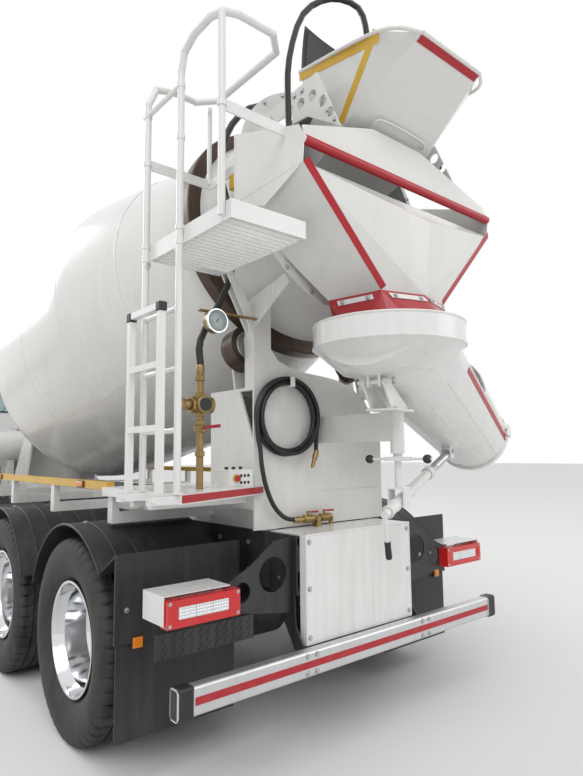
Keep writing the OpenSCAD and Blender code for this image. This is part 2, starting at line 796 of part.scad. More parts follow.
// Underrun bar with end caps
module underrun_bar() {
    bx = frame_rear - 60;
    color("#d9dadb")
        translate([bx - 60, 1090, 434])
            rotate([90, 0, 0])
                linear_extrude(height = 2180) rounded_section(60, 120, 14);
    color("#222326")
        pair()
            translate([bx - 64, 1170, 430])
                rotate([90, 0, 0])
                    linear_extrude(height = 80) rounded_section(64, 128, 20);
}

// Ladder, platform and hand rails on the left rear
plat_low = 2470;
plat_high = 2552;
ladder_x = [ped_x + 115, ped_x - 225];
plat_x = [ped_x - 625, ped_x + 95];
plat_y = [674, deck_y - 18];
rail_tube = 17;
rail_top = 3440;
mid_rail_z = 2985;
module access_platform() {
    inner = 728;
    back = plat_x[0] + 50;
    color("#e9eaea") {
        // Ladder rails, each running up into the hand rail
        bent_rail([[ladder_x[0], deck_y, deck_z], [ladder_x[0], deck_y, rail_top - 130],
            [ladder_x[0], deck_y - 45, rail_top - 25], [ladder_x[0], deck_y - 150, rail_top],
            [ladder_x[0], inner + 90, rail_top], [ladder_x[0] - 90, inner, rail_top],
            [back + 90, inner, rail_top], [back, inner + 90, rail_top],
            [back, deck_y - 90, rail_top], [back + 26, deck_y - 26, rail_top],
            [back + 90, deck_y, rail_top], [ladder_x[1] - 120, deck_y, rail_top],
            [ladder_x[1] - 30, deck_y, rail_top - 40], [ladder_x[1], deck_y, rail_top - 130],
            [ladder_x[1], deck_y, deck_z]], rail_tube);
        bar([back, deck_y, plat_low + 20], [back, deck_y, rail_top - 20], rail_tube - 1);
        for (z = [deck_z + 280 : 280 : plat_low - 60])
            bar([ladder_x[0], deck_y, z], [ladder_x[1], deck_y, z], 13);
        // Gate bar between the ladder's rails, and flat mid rails
        bar([ladder_x[0] + 34, deck_y, rail_top - 190], [ladder_x[1], deck_y, rail_top - 190], 13);
        block([ladder_x[0] - 4, inner, mid_rail_z - 26], [ladder_x[0] + 4, deck_y, mid_rail_z + 26]);
        block([back - 4, side_y + plate_t + fit, mid_rail_z - 26], [back + 4, deck_y, mid_rail_z + 26]);
        block([ped_x - 160, inner - 8, mid_rail_z - 26], [ladder_x[0] + 4, inner, mid_rail_z + 26]);
        bar([ladder_x[0], inner, mid_rail_z], [ladder_x[0], inner, rail_top], rail_tube - 4);
        difference() {
            block([plat_x[0], plat_y[0], plat_low], [plat_x[1], plat_y[1] + 4, plat_high]);
            block([plat_x[0] + 6, plat_y[0] + 6, plat_low - 1],
                [plat_x[1] - 6, plat_y[1] - 2, plat_high + 1]);
        }
        for (i = [1 : 17])
            block([plat_x[0] + 40 * i - 4, plat_y[0] + 2, plat_low + 8],
                [plat_x[0] + 40 * i + 4, plat_y[1] + 1, plat_low + 34]);
        // Brackets from the pedestal's left side
        for (x = [ped_x + 10, ped_x + 60])
            cross_prism(x, 10)
                polygon([
                    [ped_y + fit, 2160], [ped_y + fit, 2280], [plat_y[0] + 3, plat_high - 10],
                    [plat_y[0] + 160, plat_low], [plat_y[0] + 3, plat_low - 2]
                ]);
    }
}

// Rear deck with its skirt, brackets and the control box
module deck_outline(shrink) {
    polygon([
        [ped_x - 268, deck_y - shrink], [ped_x + 5, sub_y + 20], [ped_x + 600, sub_y + 20],
        [ped_x + 600, deck_y - shrink]
    ]);
}
hinge_y = deck_y + 125;
hinge_z = 1300;
module service_deck() {
    color("#e9eaea") {
        difference() {
            translate([0, 0, deck_z - 46]) linear_extrude(height = 46) deck_outline(0);
            translate([0, 0, deck_z - 60])
                linear_extrude(height = 54) offset(delta = -6) deck_outline(0);
            block([ped_x - 1, 0, deck_z - 80], [ped_x + 440, ped_y + 0.5, deck_z + 10]);
        }
        for (x = [ped_x + 60, ped_x + 250])
            block([x, ped_y + 0.5, deck_z - 90], [x + 40, deck_y - 20, deck_z - 40]);
        translate([ped_x - 40, 545, deck_z]) block([0, 0, -1], [110, 150, 90]);
        for (x = [ladder_x[0] - 20, ladder_x[1] + 15])
            difference() {
                block([x - 34, deck_y - 4, hinge_z - 18], [x - 24, hinge_y + 18, hinge_z + 18]);
                translate([x - 40, hinge_y, hinge_z]) rotate([0, 90, 0]) cylinder(r = 8 + fit, h = 60);
            }
    }
}

// Lower ladder that folds down about its hinge
module fold_ladder() {
    color("#e9eaea") {
        for (x = [ladder_x[0] - 20, ladder_x[1] + 15]) {
            block([x - 15, deck_y + 65, hinge_z - 4], [x + 15, deck_y + 95, 2180]);
            block([x - 15, deck_y + 65, hinge_z - 18], [x - 5, hinge_y + 18, hinge_z + 18]);
            translate([x - 46, hinge_y, hinge_z]) rotate([0, 90, 0]) cylinder(r = 8, h = 36);
        }
        for (z = [1600, 1885, 2150])
            block([ladder_x[1] + 15, deck_y + 65, z], [ladder_x[0] - 20, deck_y + 95, z + 30]);
    }
}

// Closed convex body through its corner points
module faceted(points) {
    hull() polyhedron(points = points, faces = [[for (i = [0 : len(points) - 1]) i]]);
}
// Each row of [x, y, z] becomes a pair of corners, left and right
function both_sides(rows) = concat(rows, [for (p = rows) [p[0], -p[1], p[2]]]);

// Charging hopper over the drum's mouth: a funnel with a rear slope and a neck into the mouth
hop_rear = ped_x - hopper_reach;
hop_rise = 0.17;
hop_lip_z = 3480;
function hop_edge(x) = hop_lip_z + hop_rise * (x - hop_rear);
hop_front = ped_x - 270;
throat = [ped_x - 530, ped_x - 320];
module hopper_form(out) {
    up = out > 0 ? 0 : 60;
    t = plate_t - out;
    faceted(both_sides([
        [hop_rear + t * 1.2 - up * 0.2, 236 + out, hop_lip_z + up],
        [hop_rear + 148, 380 + out, hop_edge(hop_rear + 148) + up],
        [hop_front - t, 380 + out, hop_edge(hop_front) + up],
        [throat[0] + t * 1.2, 320 + out, 3180 - t * 0.2],
        [throat[1] + 10 - t, 320 + out, 3340]
    ]));
}
module neck_form(out) {
    reach = out > 0 ? 0 : 20;
    faceted(both_sides([
        [throat[0], 320 + out, 3180 - out * 1.2],
        [throat[1], 320 + out, 3340 + out * 0.6],
        [throat[0] + 340 + reach, 280 + out, 3030 - out * 1.2 - reach * 0.45],
        [throat[1] + 180 + reach, 280 + out, 3260 + out * 1.2 - reach * 0.45]
    ]));
}
module charging_hopper() {
    color("#e6e6e0") {
        difference() {
            union() {
                hopper_form(plate_t);
                neck_form(plate_t);
            }
            hopper_form(0);
            neck_form(0);
        }
        // Brackets down to the collector's upper plate and front ring, with lightening holes
        pair() {
            difference() {
                side_prism(460, 470)
                    difference() {
                        polygon([
                            [ped_x - 655, 3082], [ped_x - 500, 3447], [ped_x - 300, 3430],
                            [ped_x - 100, 3420], [ped_x - 190, 3260], [ped_x - 420, 3240]
                        ]);
                        for (hole = [[-590, 3185, 26], [-535, 3270, 30], [-460, 3335, 30],
                            [-370, 3335, 30], [-280, 3340, 30]])
                            translate([ped_x + hole[0], hole[1]]) circle(r = hole[2]);
                    }
                on_drum(ring_s - 6 - fit) rotate([0, 90, 0]) cylinder(r = ring_r + 2, h = 6 + 2 * fit);
                on_drum(mouth_s - 60) rotate([0, 90, 0]) cylinder(r = mouth_r + 75, h = 500);
            }
            bar([ped_x - 420, 352, 3400], [ped_x - 420, 465, 3400], 14);
            bar([ped_x - 320, 352, 3400], [ped_x - 320, 465, 3400], 14);
        }
    }
}

// Discharge collector: a flanged front ring, side plates, the rear plate and a funnel with a folded back
side_y = 745;
tube_z = 2900;
tube_x = ped_x - 695;
ring_s = 310;
ring_r = 736;
ring_hole = mouth_r + 70;
module funnel_form(out) {
    lift = out > 0 ? 0 : 1;
    faceted(both_sides([
        [ped_x - 692 - out, side_y - 1 + out, 2791 + lift],
        [ped_x - 169 + out, side_y - 1 + out, 2769 + lift],
        [ped_x - 815 - out, 1, 2660 + lift],
        [ped_x - 767 - out, 1, collar_top - lift],
        [ped_x - 695 - out, 248 + out, collar_top - lift],
        [ped_x - 395 + out, 305 + out, collar_top - lift]
    ]));
}
module collector_side(y) {
    side_prism(y - plate_t, y)
        polygon([
            [ped_x - 692, 2791], [ped_x - 413, 2681], [ped_x - 169, 2769], [ped_x - 169, 3149],
            [ped_x - 672, 2976], [tube_x - 10, tube_z + 10]
        ]);
}
module discharge_collector() {
    color("#e6e4d8")
        difference() {
            union() {
                difference() {
                    funnel_form(plate_t);
                    funnel_form(0);
                }
                collector_side(side_y + plate_t);
                collector_side(-side_y);
                sheet([
                    [tube_x, -side_y, tube_z], [tube_x + 20, -side_y + 10, tube_z + 76],
                    [tube_x + 72, -197, tube_z + 275], [tube_x + 72, 197, tube_z + 275],
                    [tube_x + 20, side_y - 10, tube_z + 76], [tube_x, side_y, tube_z]
                ], -plate_t);
                bar([tube_x, -side_y - 5, tube_z], [tube_x, side_y + 5, tube_z], 22);
                on_drum(ring_s - 6)
                    rotate([0, 90, 0]) cylinder(r = ring_r, h = 6, $fn = 96);
            }
            on_drum(mouth_s - 60)
                rotate([0, 90, 0]) cylinder(r = ring_hole, h = 500, $fn = 96);
            block([ped_x - 400, -300, 2200], [ped_x - 250, 300, collar_top]);
        }
}

// Red collar under the collector: from the funnel's outline to a circle round the swivel axis
collar_low = 2125;
collar_top = 2290;
collar_r = 300;
module collar_form(out, over) {
    hull() {
        translate([post_x, 0, collar_low - over]) cylinder(r = collar_r + out, h = 1, $fn = 40);
        faceted(both_sides([
            [ped_x - 767 - out, 1, collar_top - fit + over],
            [ped_x - 695 - out, 248 + out, collar_top - fit + over],
            [ped_x - 395 + out, 305 + out, collar_top - fit + over]
        ]));
    }
}
module collector_collar() {
    color("#b5202c")
        difference() {
            collar_form(plate_t, 0);
            collar_form(0, 0.5);
        }
}

// Arm on the pedestal that carries the chute's swivel post
module chute_arm() {
    color("#e9eaea")
        difference() {
            union() {
                block([post_x, -35, arm_low], [ped_x, 35, post_top]);
                translate([post_x, 0, 1490]) cylinder(r = post_r + 12, h = post_top - 1490);
            }
            translate([post_x, 0, 1400]) cylinder(r = post_r + fit, h = 500);
        }
}

// Everything that swivels is drawn looking along +X from the post, then turned to its heading
module at_post() {
    translate([post_x, 0, 0]) rotate([0, 0, chute_heading]) children();
}
jack_low = [0, 0, 1245];
jack_eye = [790, 0, 1480];
jack_pin_r = 10;
chute_pin_r = 12;
shaft_r = 18;
module yoke_cheek(y) {
    side_prism(y - 10, y)
        polygon([
            [30, post_top + 8], [30, post_top + 12], [-226, chute_pin_z + 12],
            [-236, chute_pin_z + 15], [-264, chute_pin_z + 15], [-278, chute_pin_z - 16],
            [-190, post_top + 8]
        ]);
}
module chute_swivel() {
    color("#eeeeee")
        at_post() {
            translate([0, 0, 1308]) cylinder(r = shaft_r, h = 172);
            translate([0, 0, 1470]) cylinder(r = post_r, h = post_top + 2 - 1470);
            translate([0, 0, post_top + fit]) block([-190, -85, 0], [30, 85, 9]);
            for (y = [-50, 60]) yoke_cheek(y);
            translate([-chute_pin_back, 95, chute_pin_z])
                rotate([90, 0, 0]) cylinder(r = chute_pin_r, h = 190);
            // Locking plate with two ball knobs, and the fork that holds the jack
            block([-45, -60, 1452], [45, 60, 1474]);
            bar([0, -150, 1462], [0, 150, 1462], 7);
            for (k = [-1, 1]) translate([0, k * 160, 1462]) sphere(r = 22, $fn = 32);
            block([-40, -48, 1308], [40, 48, 1318]);
            for (y = [-48, 38]) block([-40, y, 1215], [40, y + 10, 1318]);
            translate([jack_low[0], 52, jack_low[2]]) rotate([90, 0, 0]) cylinder(r = jack_pin_r, h = 104);
        }
}

// Chute: an inlet band round the swivel axis on a tapered half-round trough
inlet_z = 2110;
inlet_r = 303;
inlet_back = 290;
band_r = 385;
band_x = -80;
band_low = 2030;
band_top = 2140;
skirt_low = 1900;
// Local frame: X along the trough's axis, from the middle of the inlet
module along_chute() {
    translate([0, 0, inlet_z]) rotate([0, chute_fall, 0]) children();
}
chute_taper = (inlet_r - chute_r) / chute_len;
module trough_cone(grow, from, to) {
    rotate([0, 90, 0])
        translate([0, 0, from])
            cylinder(r1 = inlet_r - chute_taper * from + grow, r2 = inlet_r - chute_taper * to + grow,
                h = to - from, $fn = 64);
}
ear_y = 24;
module chute() {
    half = inlet_r + 40;
    color("#e8e8e6")
        at_post()
            difference() {
                union() {
                    intersection() {
                        along_chute() {
                            intersection() {
                                trough_cone(plate_t, -inlet_back, chute_len);
                                block([-inlet_back, -half, -half - 20], [chute_len + 10, half, 0]);
                            }
                            intersection() {
                                trough_cone(plate_t + 14, chute_len - 30, chute_len);
                                block([0, -half, -half], [chute_len + 10, half, 0]);
                            }
                        }
                        block([-600, -600, 800], [2000, 600, band_low]);
                    }
                    translate([band_x, 0, 0])
                        rotate_extrude($fn = 96)
                            polygon([
                                [0, skirt_low], [236 + plate_t, skirt_low], [band_r + plate_t, band_low],
                                [band_r + plate_t, band_top], [0, band_top]
                            ]);
                    // Ears of the hinge and of the jack
                    for (y = [-ear_y - 12, ear_y])
                        block([-chute_pin_back - 25, y, chute_pin_z - 25],
                            [-chute_pin_back + 60, y + 12, skirt_low + 60]);
                    for (y = [-34, 24])
                        block([jack_eye[0] - 28, y, jack_eye[2] - 24],
                            [jack_eye[0] + 28, y + 10, jack_eye[2] + 70]);
                }
                translate([band_x, 0, 0])
                    rotate_extrude($fn = 96)
                        polygon([
                            [0, skirt_low + 3], [238, skirt_low + 3], [band_r, band_low + 2],
                            [band_r, band_top + 5], [0, band_top + 5]
                        ]);
                along_chute() {
                    trough_cone(0, -inlet_back + plate_t, chute_len + 20);
                    block([120, -half - 100, 0], [900, half + 100, 500]);
                }
                translate([-chute_pin_back, 100, chute_pin_z])
                    rotate([90, 0, 0]) cylinder(r = chute_pin_r + fit, h = 200);
            }
    color("#e8e8e6")
        at_post()
            translate([jack_eye[0], 36, jack_eye[2]])
                rotate([90, 0, 0]) cylinder(r = 8, h = 72);
    // Hinge brackets and pins for the folding extension
    color("#e8e8e6")
        at_post()
            along_chute()
                pair() {
                        block([chute_len - 40, chute_r + 9, -40], [chute_len + 12, chute_r + 17, 10]);
                        translate([chute_len, chute_r + 9, 0]) rotate([-90, 0, 0]) cylinder(r = 7, h = 26);
                    }
}
flap_len = 680;
flap_gap = 8;
module chute_extension() {
    half = inlet_r + 60;
    color("#e8e8e6")
        at_post()
            along_chute()
                difference() {
                    union() {
                        intersection() {
                            trough_cone(plate_t, chute_len - flap_len, chute_len - 2);
                            block([0, -half, flap_gap], [chute_len + 10, half, half]);
                        }
                        pair() {
                            block([chute_len - 60, chute_r + 2, flap_gap + 20],
                                [chute_len - 22, chute_r + 31, flap_gap + 50]);
                            block([chute_len - 60, chute_r + 22, -14],
                                [chute_len + 14, chute_r + 31, flap_gap + 50]);
                        }
                    }
                    trough_cone(0, chute_len - flap_len - 10, chute_len + 10);
                    translate([chute_len, -half, 0])
                        rotate([-90, 0, 0]) cylinder(r = 7 + fit, h = 2 * half);
                    translate([chute_len - flap_len, -half, 80])
                        rotate([0, -40, 0]) block([-400, 0, -60], [0, 2 * half, 500]);
                }
}

// Screw jack that props the chute
jack_len = norm(jack_eye - jack_low);
module on_jack() {
    at_post()
        translate(jack_low)
            rotate([0, -atan2(jack_eye[2] - jack_low[2], jack_eye[0] - jack_low[0]), 0])
                children();
}
module jack_barrel() {
    color("#eeeeee")
        on_jack() {
            difference() {
                union() {
                    translate([-150, 0, 0]) rotate([0, 90, 0]) cylinder(r = 30, h = 620);
                    translate([440, 0, 0]) rotate([0, 90, 0]) cylinder(r = 34, h = 40);
                }
                translate([40, 0, 0]) rotate([0, 90, 0]) cylinder(r = 24 + fit, h = 500);
                translate([0, 60, 0]) rotate([90, 0, 0]) cylinder(r = jack_pin_r + fit, h = 120);
            }
            translate([-190, 0, 0]) rotate([0, 90, 0]) cylinder(r = 22, h = 45);
            bar([-185, 0, 0], [-205, 0, -130], 6);
            bar([-205, 0, -130], [-215, 0, -215], 13);
        }
}
module jack_rod() {
    color("#c5c8cb")
        on_jack()
            difference() {
                union() {
                    translate([180, 0, 0]) rotate([0, 90, 0]) cylinder(r = 24, h = jack_len - 180 - 30);
                    translate([jack_len, 9, 0]) rotate([90, 0, 0]) cylinder(r = 34, h = 18);
                    block([jack_len - 60, -9, -20], [jack_len - 20, 9, 20]);
                }
                translate([jack_len, 20, 0]) rotate([90, 0, 0]) cylinder(r = 20, h = 40);
            }
}

// Taps on the rear cover, the water meter on its riser and the dial gauge on its bracket
tap_x = ped_x - 60;
tap_z = 1132;
riser_x = ped_x - 3;
riser_y = 850;
module water_fittings() {
    color("#b08d3f") {
        bar([tap_x, 241, tap_z], [tap_x, 0, tap_z], 15);
        bar([tap_x, 205, tap_z], [tap_x, 150, tap_z], 22);
        bar([tap_x, 80, tap_z], [tap_x, 30, tap_z], 22);
        bar([tap_x, 4, tap_z + 6], [tap_x, 4, tap_z - 40], 14);
        for (y = [178, 55]) {
            bar([tap_x, y, tap_z], [tap_x, y, tap_z + 36], 8);
            block([tap_x - 6, y - 70, tap_z + 33], [tap_x + 6, y + 12, tap_z + 39]);
        }
        block([tap_x - 20, 100, frame_top + 5], [tap_x + 20, 130, tap_z + 10]);
        bar([riser_x, riser_y, deck_z], [riser_x, riser_y, 1900], 18);
        bar([riser_x, riser_y, 1610], [riser_x, riser_y, 1640], 30);
        bar([riser_x, riser_y - 65, 1745], [riser_x, riser_y + 60, 1745], 42);
        bar([riser_x, riser_y + 55, 1745], [riser_x, riser_y + 110, 1745], 26);
    }
    color("#e9eaea")
        block([ped_x - 36, ped_y + fit, 2226], [ped_x - 4, 872, 2234]);
    color("#c8c8c6") {
        block([ped_x - 46, 775, 2180], [ped_x - 36, 831, 2232]);
        bar([ped_x - 84, 803, 2170], [ped_x - 46, 803, 2170], 60);
    }
}
// Fixed hoses: one rises beside the platform round the collector's ring, one loops over into the hopper
function ring_point(a, r, s) = axis_at(s) + r * [sin(a) * sin(drum_tilt), cos(a), sin(a) * cos(drum_tilt)];
riser_route = concat(
    [[riser_x, riser_y, 1901.2], [riser_x, riser_y, 1960], [ped_x + 14, 840, 2080],
        [ped_x + 40, 720, 2280], [ped_x + 40, 640, 2450], [ped_x + 20, 640, 2560]],
    [for (a = [-24 : 24 : 72]) ring_point(a, 762, 440)],
    [[ped_x - 140, 90, 3770], [ped_x - 280, 110, 3790], [ped_x - 380, 140, 3720],
        [ped_x - 400, 150, 3560]]);
loop_route = [[ped_x - 480, 640, 2960], [ped_x - 480, 650, 3200], [ped_x - 480, 640, 3450],
    [ped_x - 500, 560, 3720], [ped_x - 560, 420, 3840], [ped_x - 640, 300, 3800],
    [ped_x - 660, 260, 3650], [ped_x - 640, 250, 3500]];
module water_hoses() {
    color("#1b1b1c") {
        swept(smooth_path(riser_route, 3), hose_d / 2 + 6, 8, [1, 0, 0]);
        swept(smooth_path(loop_route, 3), hose_d / 2 + 3, 8, [1, 0, 0]);
        block([ped_x - 492, 640, 2985], [ped_x - 468, side_y - fit, 3009]);
    }
}

// Wash-down hose: the coil on its hook, its free ends and the nozzle
coil_x = ped_x - 10 - coil_w / 2;
tail_route = [[tap_x, 241.3, tap_z], [tap_x, 275, 1134], [tap_x, 350, 1152], [tap_x, 425, 1220],
    [tap_x, 478, 1330], [tap_x + 6, 500, 1440], [tap_x + 12, 504, 1520], [tap_x + 15, 504, 1566]];
end_route = [[tap_x + 15, 94, 1566], [tap_x + 8, 97, 1535], [tap_x, 108, 1508], [tap_x - 2, 120, 1482]];
module wash_hose_coil() {
    color("#1b1b1c")
        translate([coil_x, coil_y, coil_z])
            rotate([0, 90, 0])
                rotate_extrude($fn = 64)
                    translate([coil_r, 0]) square([coil_w, coil_w], center = true);
}
module wash_hose_tail() {
    color("#1b1b1c") {
        swept(smooth_path(tail_route, 2), hose_d / 2, 8, [1, 0, 0]);
        swept(smooth_path(end_route, 2), hose_d / 2, 8, [1, 0, 0]);
    }
}
nozzle_dir = unit([-2, 12, -26]);
module wash_hose_nozzle() {
    start = end_route[3] + 0.3 * nozzle_dir;
    color("#b08d3f") {
        bar(start, start + 22 * nozzle_dir, 15);
        bar(start + 20 * nozzle_dir, start + 62 * nozzle_dir, 11);
        bar(start + 60 * nozzle_dir, start + 74 * nozzle_dir, 8);
    }
}

// Cab form: the side, front and plan outlines cut out of one block, at the given inset
module cab_form(inset) {
    w = cab_w / 2 - inset;
    low = cab_floor + inset;
    high = cab_top - inset;
    f = cab_front - inset;
    r = cab_rear + inset;
    intersection() {
        side_prism(-w - 50, w + 50)
            offset(r = 60) offset(delta = -60)
                polygon([
                    [r, low], [r, high - 60], [r + 120, high], [f - 380, high],
                    [f - 240, high - 90], [f - 20, 1850], [f, 1700], [f, low]
                ]);
        cross_prism(r - 50, f - r + 100)
            offset(r = 80) offset(delta = -80)
                polygon([
                    [-w, low - 200], [-w, 1900], [-w + 90, high + 5], [w - 90, high + 5], [w, 1900],
                    [w, low - 200]
                ]);
        translate([0, 0, low - 10])
            linear_extrude(height = high - low + 40)
                offset(r = 90) offset(delta = -90)
                    polygon([[r, -w], [r, w], [f - 260, w], [f, w - 130], [f, -w + 130], [f - 260, -w]]);
    }
}
// Door outline in the XZ plane, grown by a gap
module door_outline(gap) {
    offset(delta = gap)
        polygon([
            [hinge_x + 30, cab_floor + 60], [hinge_x + 30, 1840], [hinge_x - 170, cab_top - 190],
            [hinge_x - 980, cab_top - 190], [hinge_x - 980, 1500], [hinge_x - 800, cab_floor + 60]
        ]);
}
module door_window(gap) {
    offset(delta = gap)
        polygon([
            [hinge_x - 60, 1900], [hinge_x - 215, cab_top - 260], [hinge_x - 910, cab_top - 260],
            [hinge_x - 910, 1900]
        ]);
}
module windscreen_cut(gap) {
    cross_prism(cab_front - 420, 500)
        offset(delta = gap)
            polygon([[-1040, 1850], [-980, cab_top - 230], [980, cab_top - 230], [1040, 1850]]);
}
module cab_shell() {
    color("#eceeef")
        pair() shell_hinge();
    color("#eceeef")
        difference() {
            cab_form(0);
            cab_form(cab_wall);
            pair()
                side_prism(cab_w / 2 - 200, cab_w / 2 + 20) door_outline(door_gap);
            windscreen_cut(0);
            cross_prism(cab_rear - 10, cab_wall + 20) square_at(-500, 2050, 1000, 500);
        }
}
module left_door() {
    color("#eceeef")
        difference() {
            intersection() {
                difference() {
                    cab_form(0);
                    cab_form(cab_wall);
                }
                side_prism(cab_w / 2 - 200, cab_w / 2 + 20) door_outline(0);
            }
            side_prism(cab_w / 2 - 300, cab_w / 2 + 30) door_window(0);
        }
    color("#eceeef") door_hinge();
}
// Door hinges on the outside: a pin held by the shell's leaf, and the door's knuckles round it
hinge_pin_x = hinge_x + 30 + door_gap / 2;
hinge_pin_y = cab_w / 2 + 14;
hinge_pin_r = 8;
hinge_levels = [1420, 1780];
module shell_hinge() {
    for (z = hinge_levels) {
        block([hinge_pin_x + 19, cab_w / 2 - 30, z - 30], [hinge_pin_x + 60, cab_w / 2 + 12, z + 30]);
        block([hinge_pin_x - 8, cab_w / 2 + 4, z - 30], [hinge_pin_x + 21, hinge_pin_y + 8, z - 16]);
        translate([hinge_pin_x, hinge_pin_y, z - 22]) cylinder(r = hinge_pin_r, h = 52);
    }
}
module door_hinge() {
    for (z = hinge_levels) difference() {
        union() {
            translate([hinge_pin_x, hinge_pin_y, z - 15.7]) cylinder(r = hinge_pin_r + 7, h = 45);
            block([hinge_pin_x - 60, cab_w / 2 - 3, z - 15.7], [hinge_pin_x - 9, cab_w / 2 + 10, z + 29.3]);
            block([hinge_pin_x - 20, cab_w / 2 + 2, z - 15.7], [hinge_pin_x, cab_w / 2 + 10, z + 29.3]);
        }
        translate([hinge_pin_x, hinge_pin_y, z - 30]) cylinder(r = hinge_pin_r + fit, h = 70);
    }
}
module door_left() { left_door(); }
module door_right() { mirror([0, 1, 0]) left_door(); }
module left_door_glass() {
    color([0.5, 0.6, 0.65, 0.5])
        intersection() {
            difference() {
                cab_form(cab_wall / 2 - glass_t / 2);
                cab_form(cab_wall / 2 + glass_t / 2);
            }
            side_prism(cab_w / 2 - 200, cab_w / 2 + 20) door_window(-fit);
        }
}
module door_glass_left() { left_door_glass(); }
module door_glass_right() { mirror([0, 1, 0]) left_door_glass(); }
module cab_glass() {
    color([0.5, 0.6, 0.65, 0.5]) {
        intersection() {
            difference() {
                cab_form(cab_wall / 2 - glass_t / 2);
                cab_form(cab_wall / 2 + glass_t / 2);
            }
            windscreen_cut(-fit);
        }
        block([cab_rear + 20, -500 + fit, 2050 + fit], [cab_rear + 26, 500 - fit, 2550 - fit]);
    }
}
// Front bumper with its brackets under the rails, lamp pockets and the steps behind it
lamp_low = [front_x - 50, 850, 600];
lamp_high = [front_x, 1180, 780];
module front_bumper() {
    color("#e4e6e7") {
        difference() {
            union() {
                difference() {
                    block([cab_front - 220, -cab_w / 2 - 30, 430], [front_x, cab_w / 2 + 30, 880]);
                    block([cab_front - 260, 10 - cab_w / 2, 380], [front_x - 60, cab_w / 2 - 10, 840]);
                }
                pair() block(lamp_low - [20, 20, 20], lamp_high + [-2, 20, 20]);
            }
            block([front_x - 140, -120, 420], [front_x + 10, 120, 740]);
            pair()
                block(lamp_low, lamp_high + [5, 0, 0]);
        }
        pair()
            block([frame_front - 100, rail_y - 75, 700], [front_x - 58, rail_y - 5, frame_bottom]);
    }
    color("#303236")
        pair()
            difference() {
                block([axle1_x + 640, 880, 420], [cab_front - 219, 1215, cab_floor - fit]);
                block([axle1_x + 670, 920, 450], [cab_front - 250, 1300, 760]);
                block([axle1_x + 670, 920, 790], [cab_front - 250, 1300, 1120]);
            }
}
module front_grille() {
    color("#25272a") {
        difference() {
            block([cab_front + fit, -820, 900], [cab_front + 40, 820, 1640]);
            for (z = [960 : 110 : 1560])
                block([cab_front + 12, -760, z], [cab_front + 60, 760, z + 60]);
        }
    }
}
module headlamps() {
    color([0.8, 0.85, 0.9])
        pair()
            block(lamp_low + [fit, fit, fit], lamp_high - [2, fit, fit]);
}
module mirrors() {
    color("#1c1d1f")
        difference() {
            pair() {
                block([cab_front - 190, 1290, 1900], [cab_front - 80, 1430, 2480]);
                for (z = [1960, 2400])
                    bar([cab_front - 150, 1050, z], [cab_front - 150, 1300, z], 14);
            }
            cab_form(-fit);
        }
}
module cab_interior() {
    color("#3a3b3d") {
        intersection() {
            cab_form(cab_wall + fit);
            block([cab_front - 480, 80 - cab_w / 2, cab_floor], [cab_front, cab_w / 2 - 80, 1740]);
        }
        for (y = [-560, 560]) {
            block([cab_rear + 700, y - 260, cab_floor + cab_wall], [cab_rear + 1240, y + 260, 1600]);
            block([cab_rear + 560, y - 250, 1560], [cab_rear + 720, y + 250, 2300]);
        }
        translate([cab_front - 560, 560, 1810])
            rotate([0, 62, 0]) {
                rotate_extrude() translate([220, 0]) circle(r = 15);
                cylinder(r = 40, h = 30);
                bar([0, 0, 10], [0, 0, 150], 22);
                for (a = [0, 120, 240])
                    bar([30 * cos(a), 30 * sin(a), 8], [215 * cos(a), 215 * sin(a), 0], 10);
            }
    }
}

chassis_frame();
mixer_subframe();
side_strips();
engine_block();
running_gear();
fuel_tank();
equipment_boxes();
water_tank();
front_pedestal();
drum_gearbox();
rear_pedestal();
mudguards();
tail_lamps();
rear_panel();
underrun_bar();
access_platform();
service_deck();
charging_hopper();
discharge_collector();
collector_collar();
chute_arm();
water_fittings();
water_hoses();
wash_hose_coil();
wash_hose_tail();
wash_hose_nozzle();
cab_shell();
front_bumper();
front_grille();
headlamps();
cab_glass();
mirrors();
cab_interior();
mixer_drum();
roller_left();
roller_right();
fold_ladder();
chute_swivel();
chute();
chute_extension();
jack_barrel();
jack_rod();
knuckle_1_left();
knuckle_1_right();
knuckle_2_left();
knuckle_2_right();
wheel_1_left();
wheel_1_right();
wheel_2_left();
wheel_2_right();
wheel_3_left();
wheel_3_right();
wheel_4_left();
wheel_4_right();
door_left();
door_right();
door_glass_left();
door_glass_right();
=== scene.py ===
"""Looks of a four-axle concrete mixer truck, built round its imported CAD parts.

Everything is in metres, with +X forward, +Y to the truck's left and z = 0 on the ground.
"""

import json
import logging
import math
from dataclasses import dataclass
from enum import Enum
from typing import ClassVar, Iterable, Sequence

import bmesh
import bpy
import numpy as np
from mathutils import Matrix, Vector

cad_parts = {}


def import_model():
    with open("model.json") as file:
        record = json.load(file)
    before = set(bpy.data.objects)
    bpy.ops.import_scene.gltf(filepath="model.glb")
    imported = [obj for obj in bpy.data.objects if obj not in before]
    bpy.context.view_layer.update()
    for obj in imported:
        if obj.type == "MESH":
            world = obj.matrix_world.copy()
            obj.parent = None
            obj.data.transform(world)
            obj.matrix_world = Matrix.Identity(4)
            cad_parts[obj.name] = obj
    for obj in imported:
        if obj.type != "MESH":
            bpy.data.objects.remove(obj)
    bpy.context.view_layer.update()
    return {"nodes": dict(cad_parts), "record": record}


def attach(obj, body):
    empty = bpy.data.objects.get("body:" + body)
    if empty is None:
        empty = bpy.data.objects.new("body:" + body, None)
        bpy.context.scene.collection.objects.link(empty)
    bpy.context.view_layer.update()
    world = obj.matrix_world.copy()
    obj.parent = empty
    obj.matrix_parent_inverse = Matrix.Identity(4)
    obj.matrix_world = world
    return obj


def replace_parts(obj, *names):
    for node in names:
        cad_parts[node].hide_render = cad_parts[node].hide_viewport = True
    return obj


log = logging.getLogger("mixer_truck")

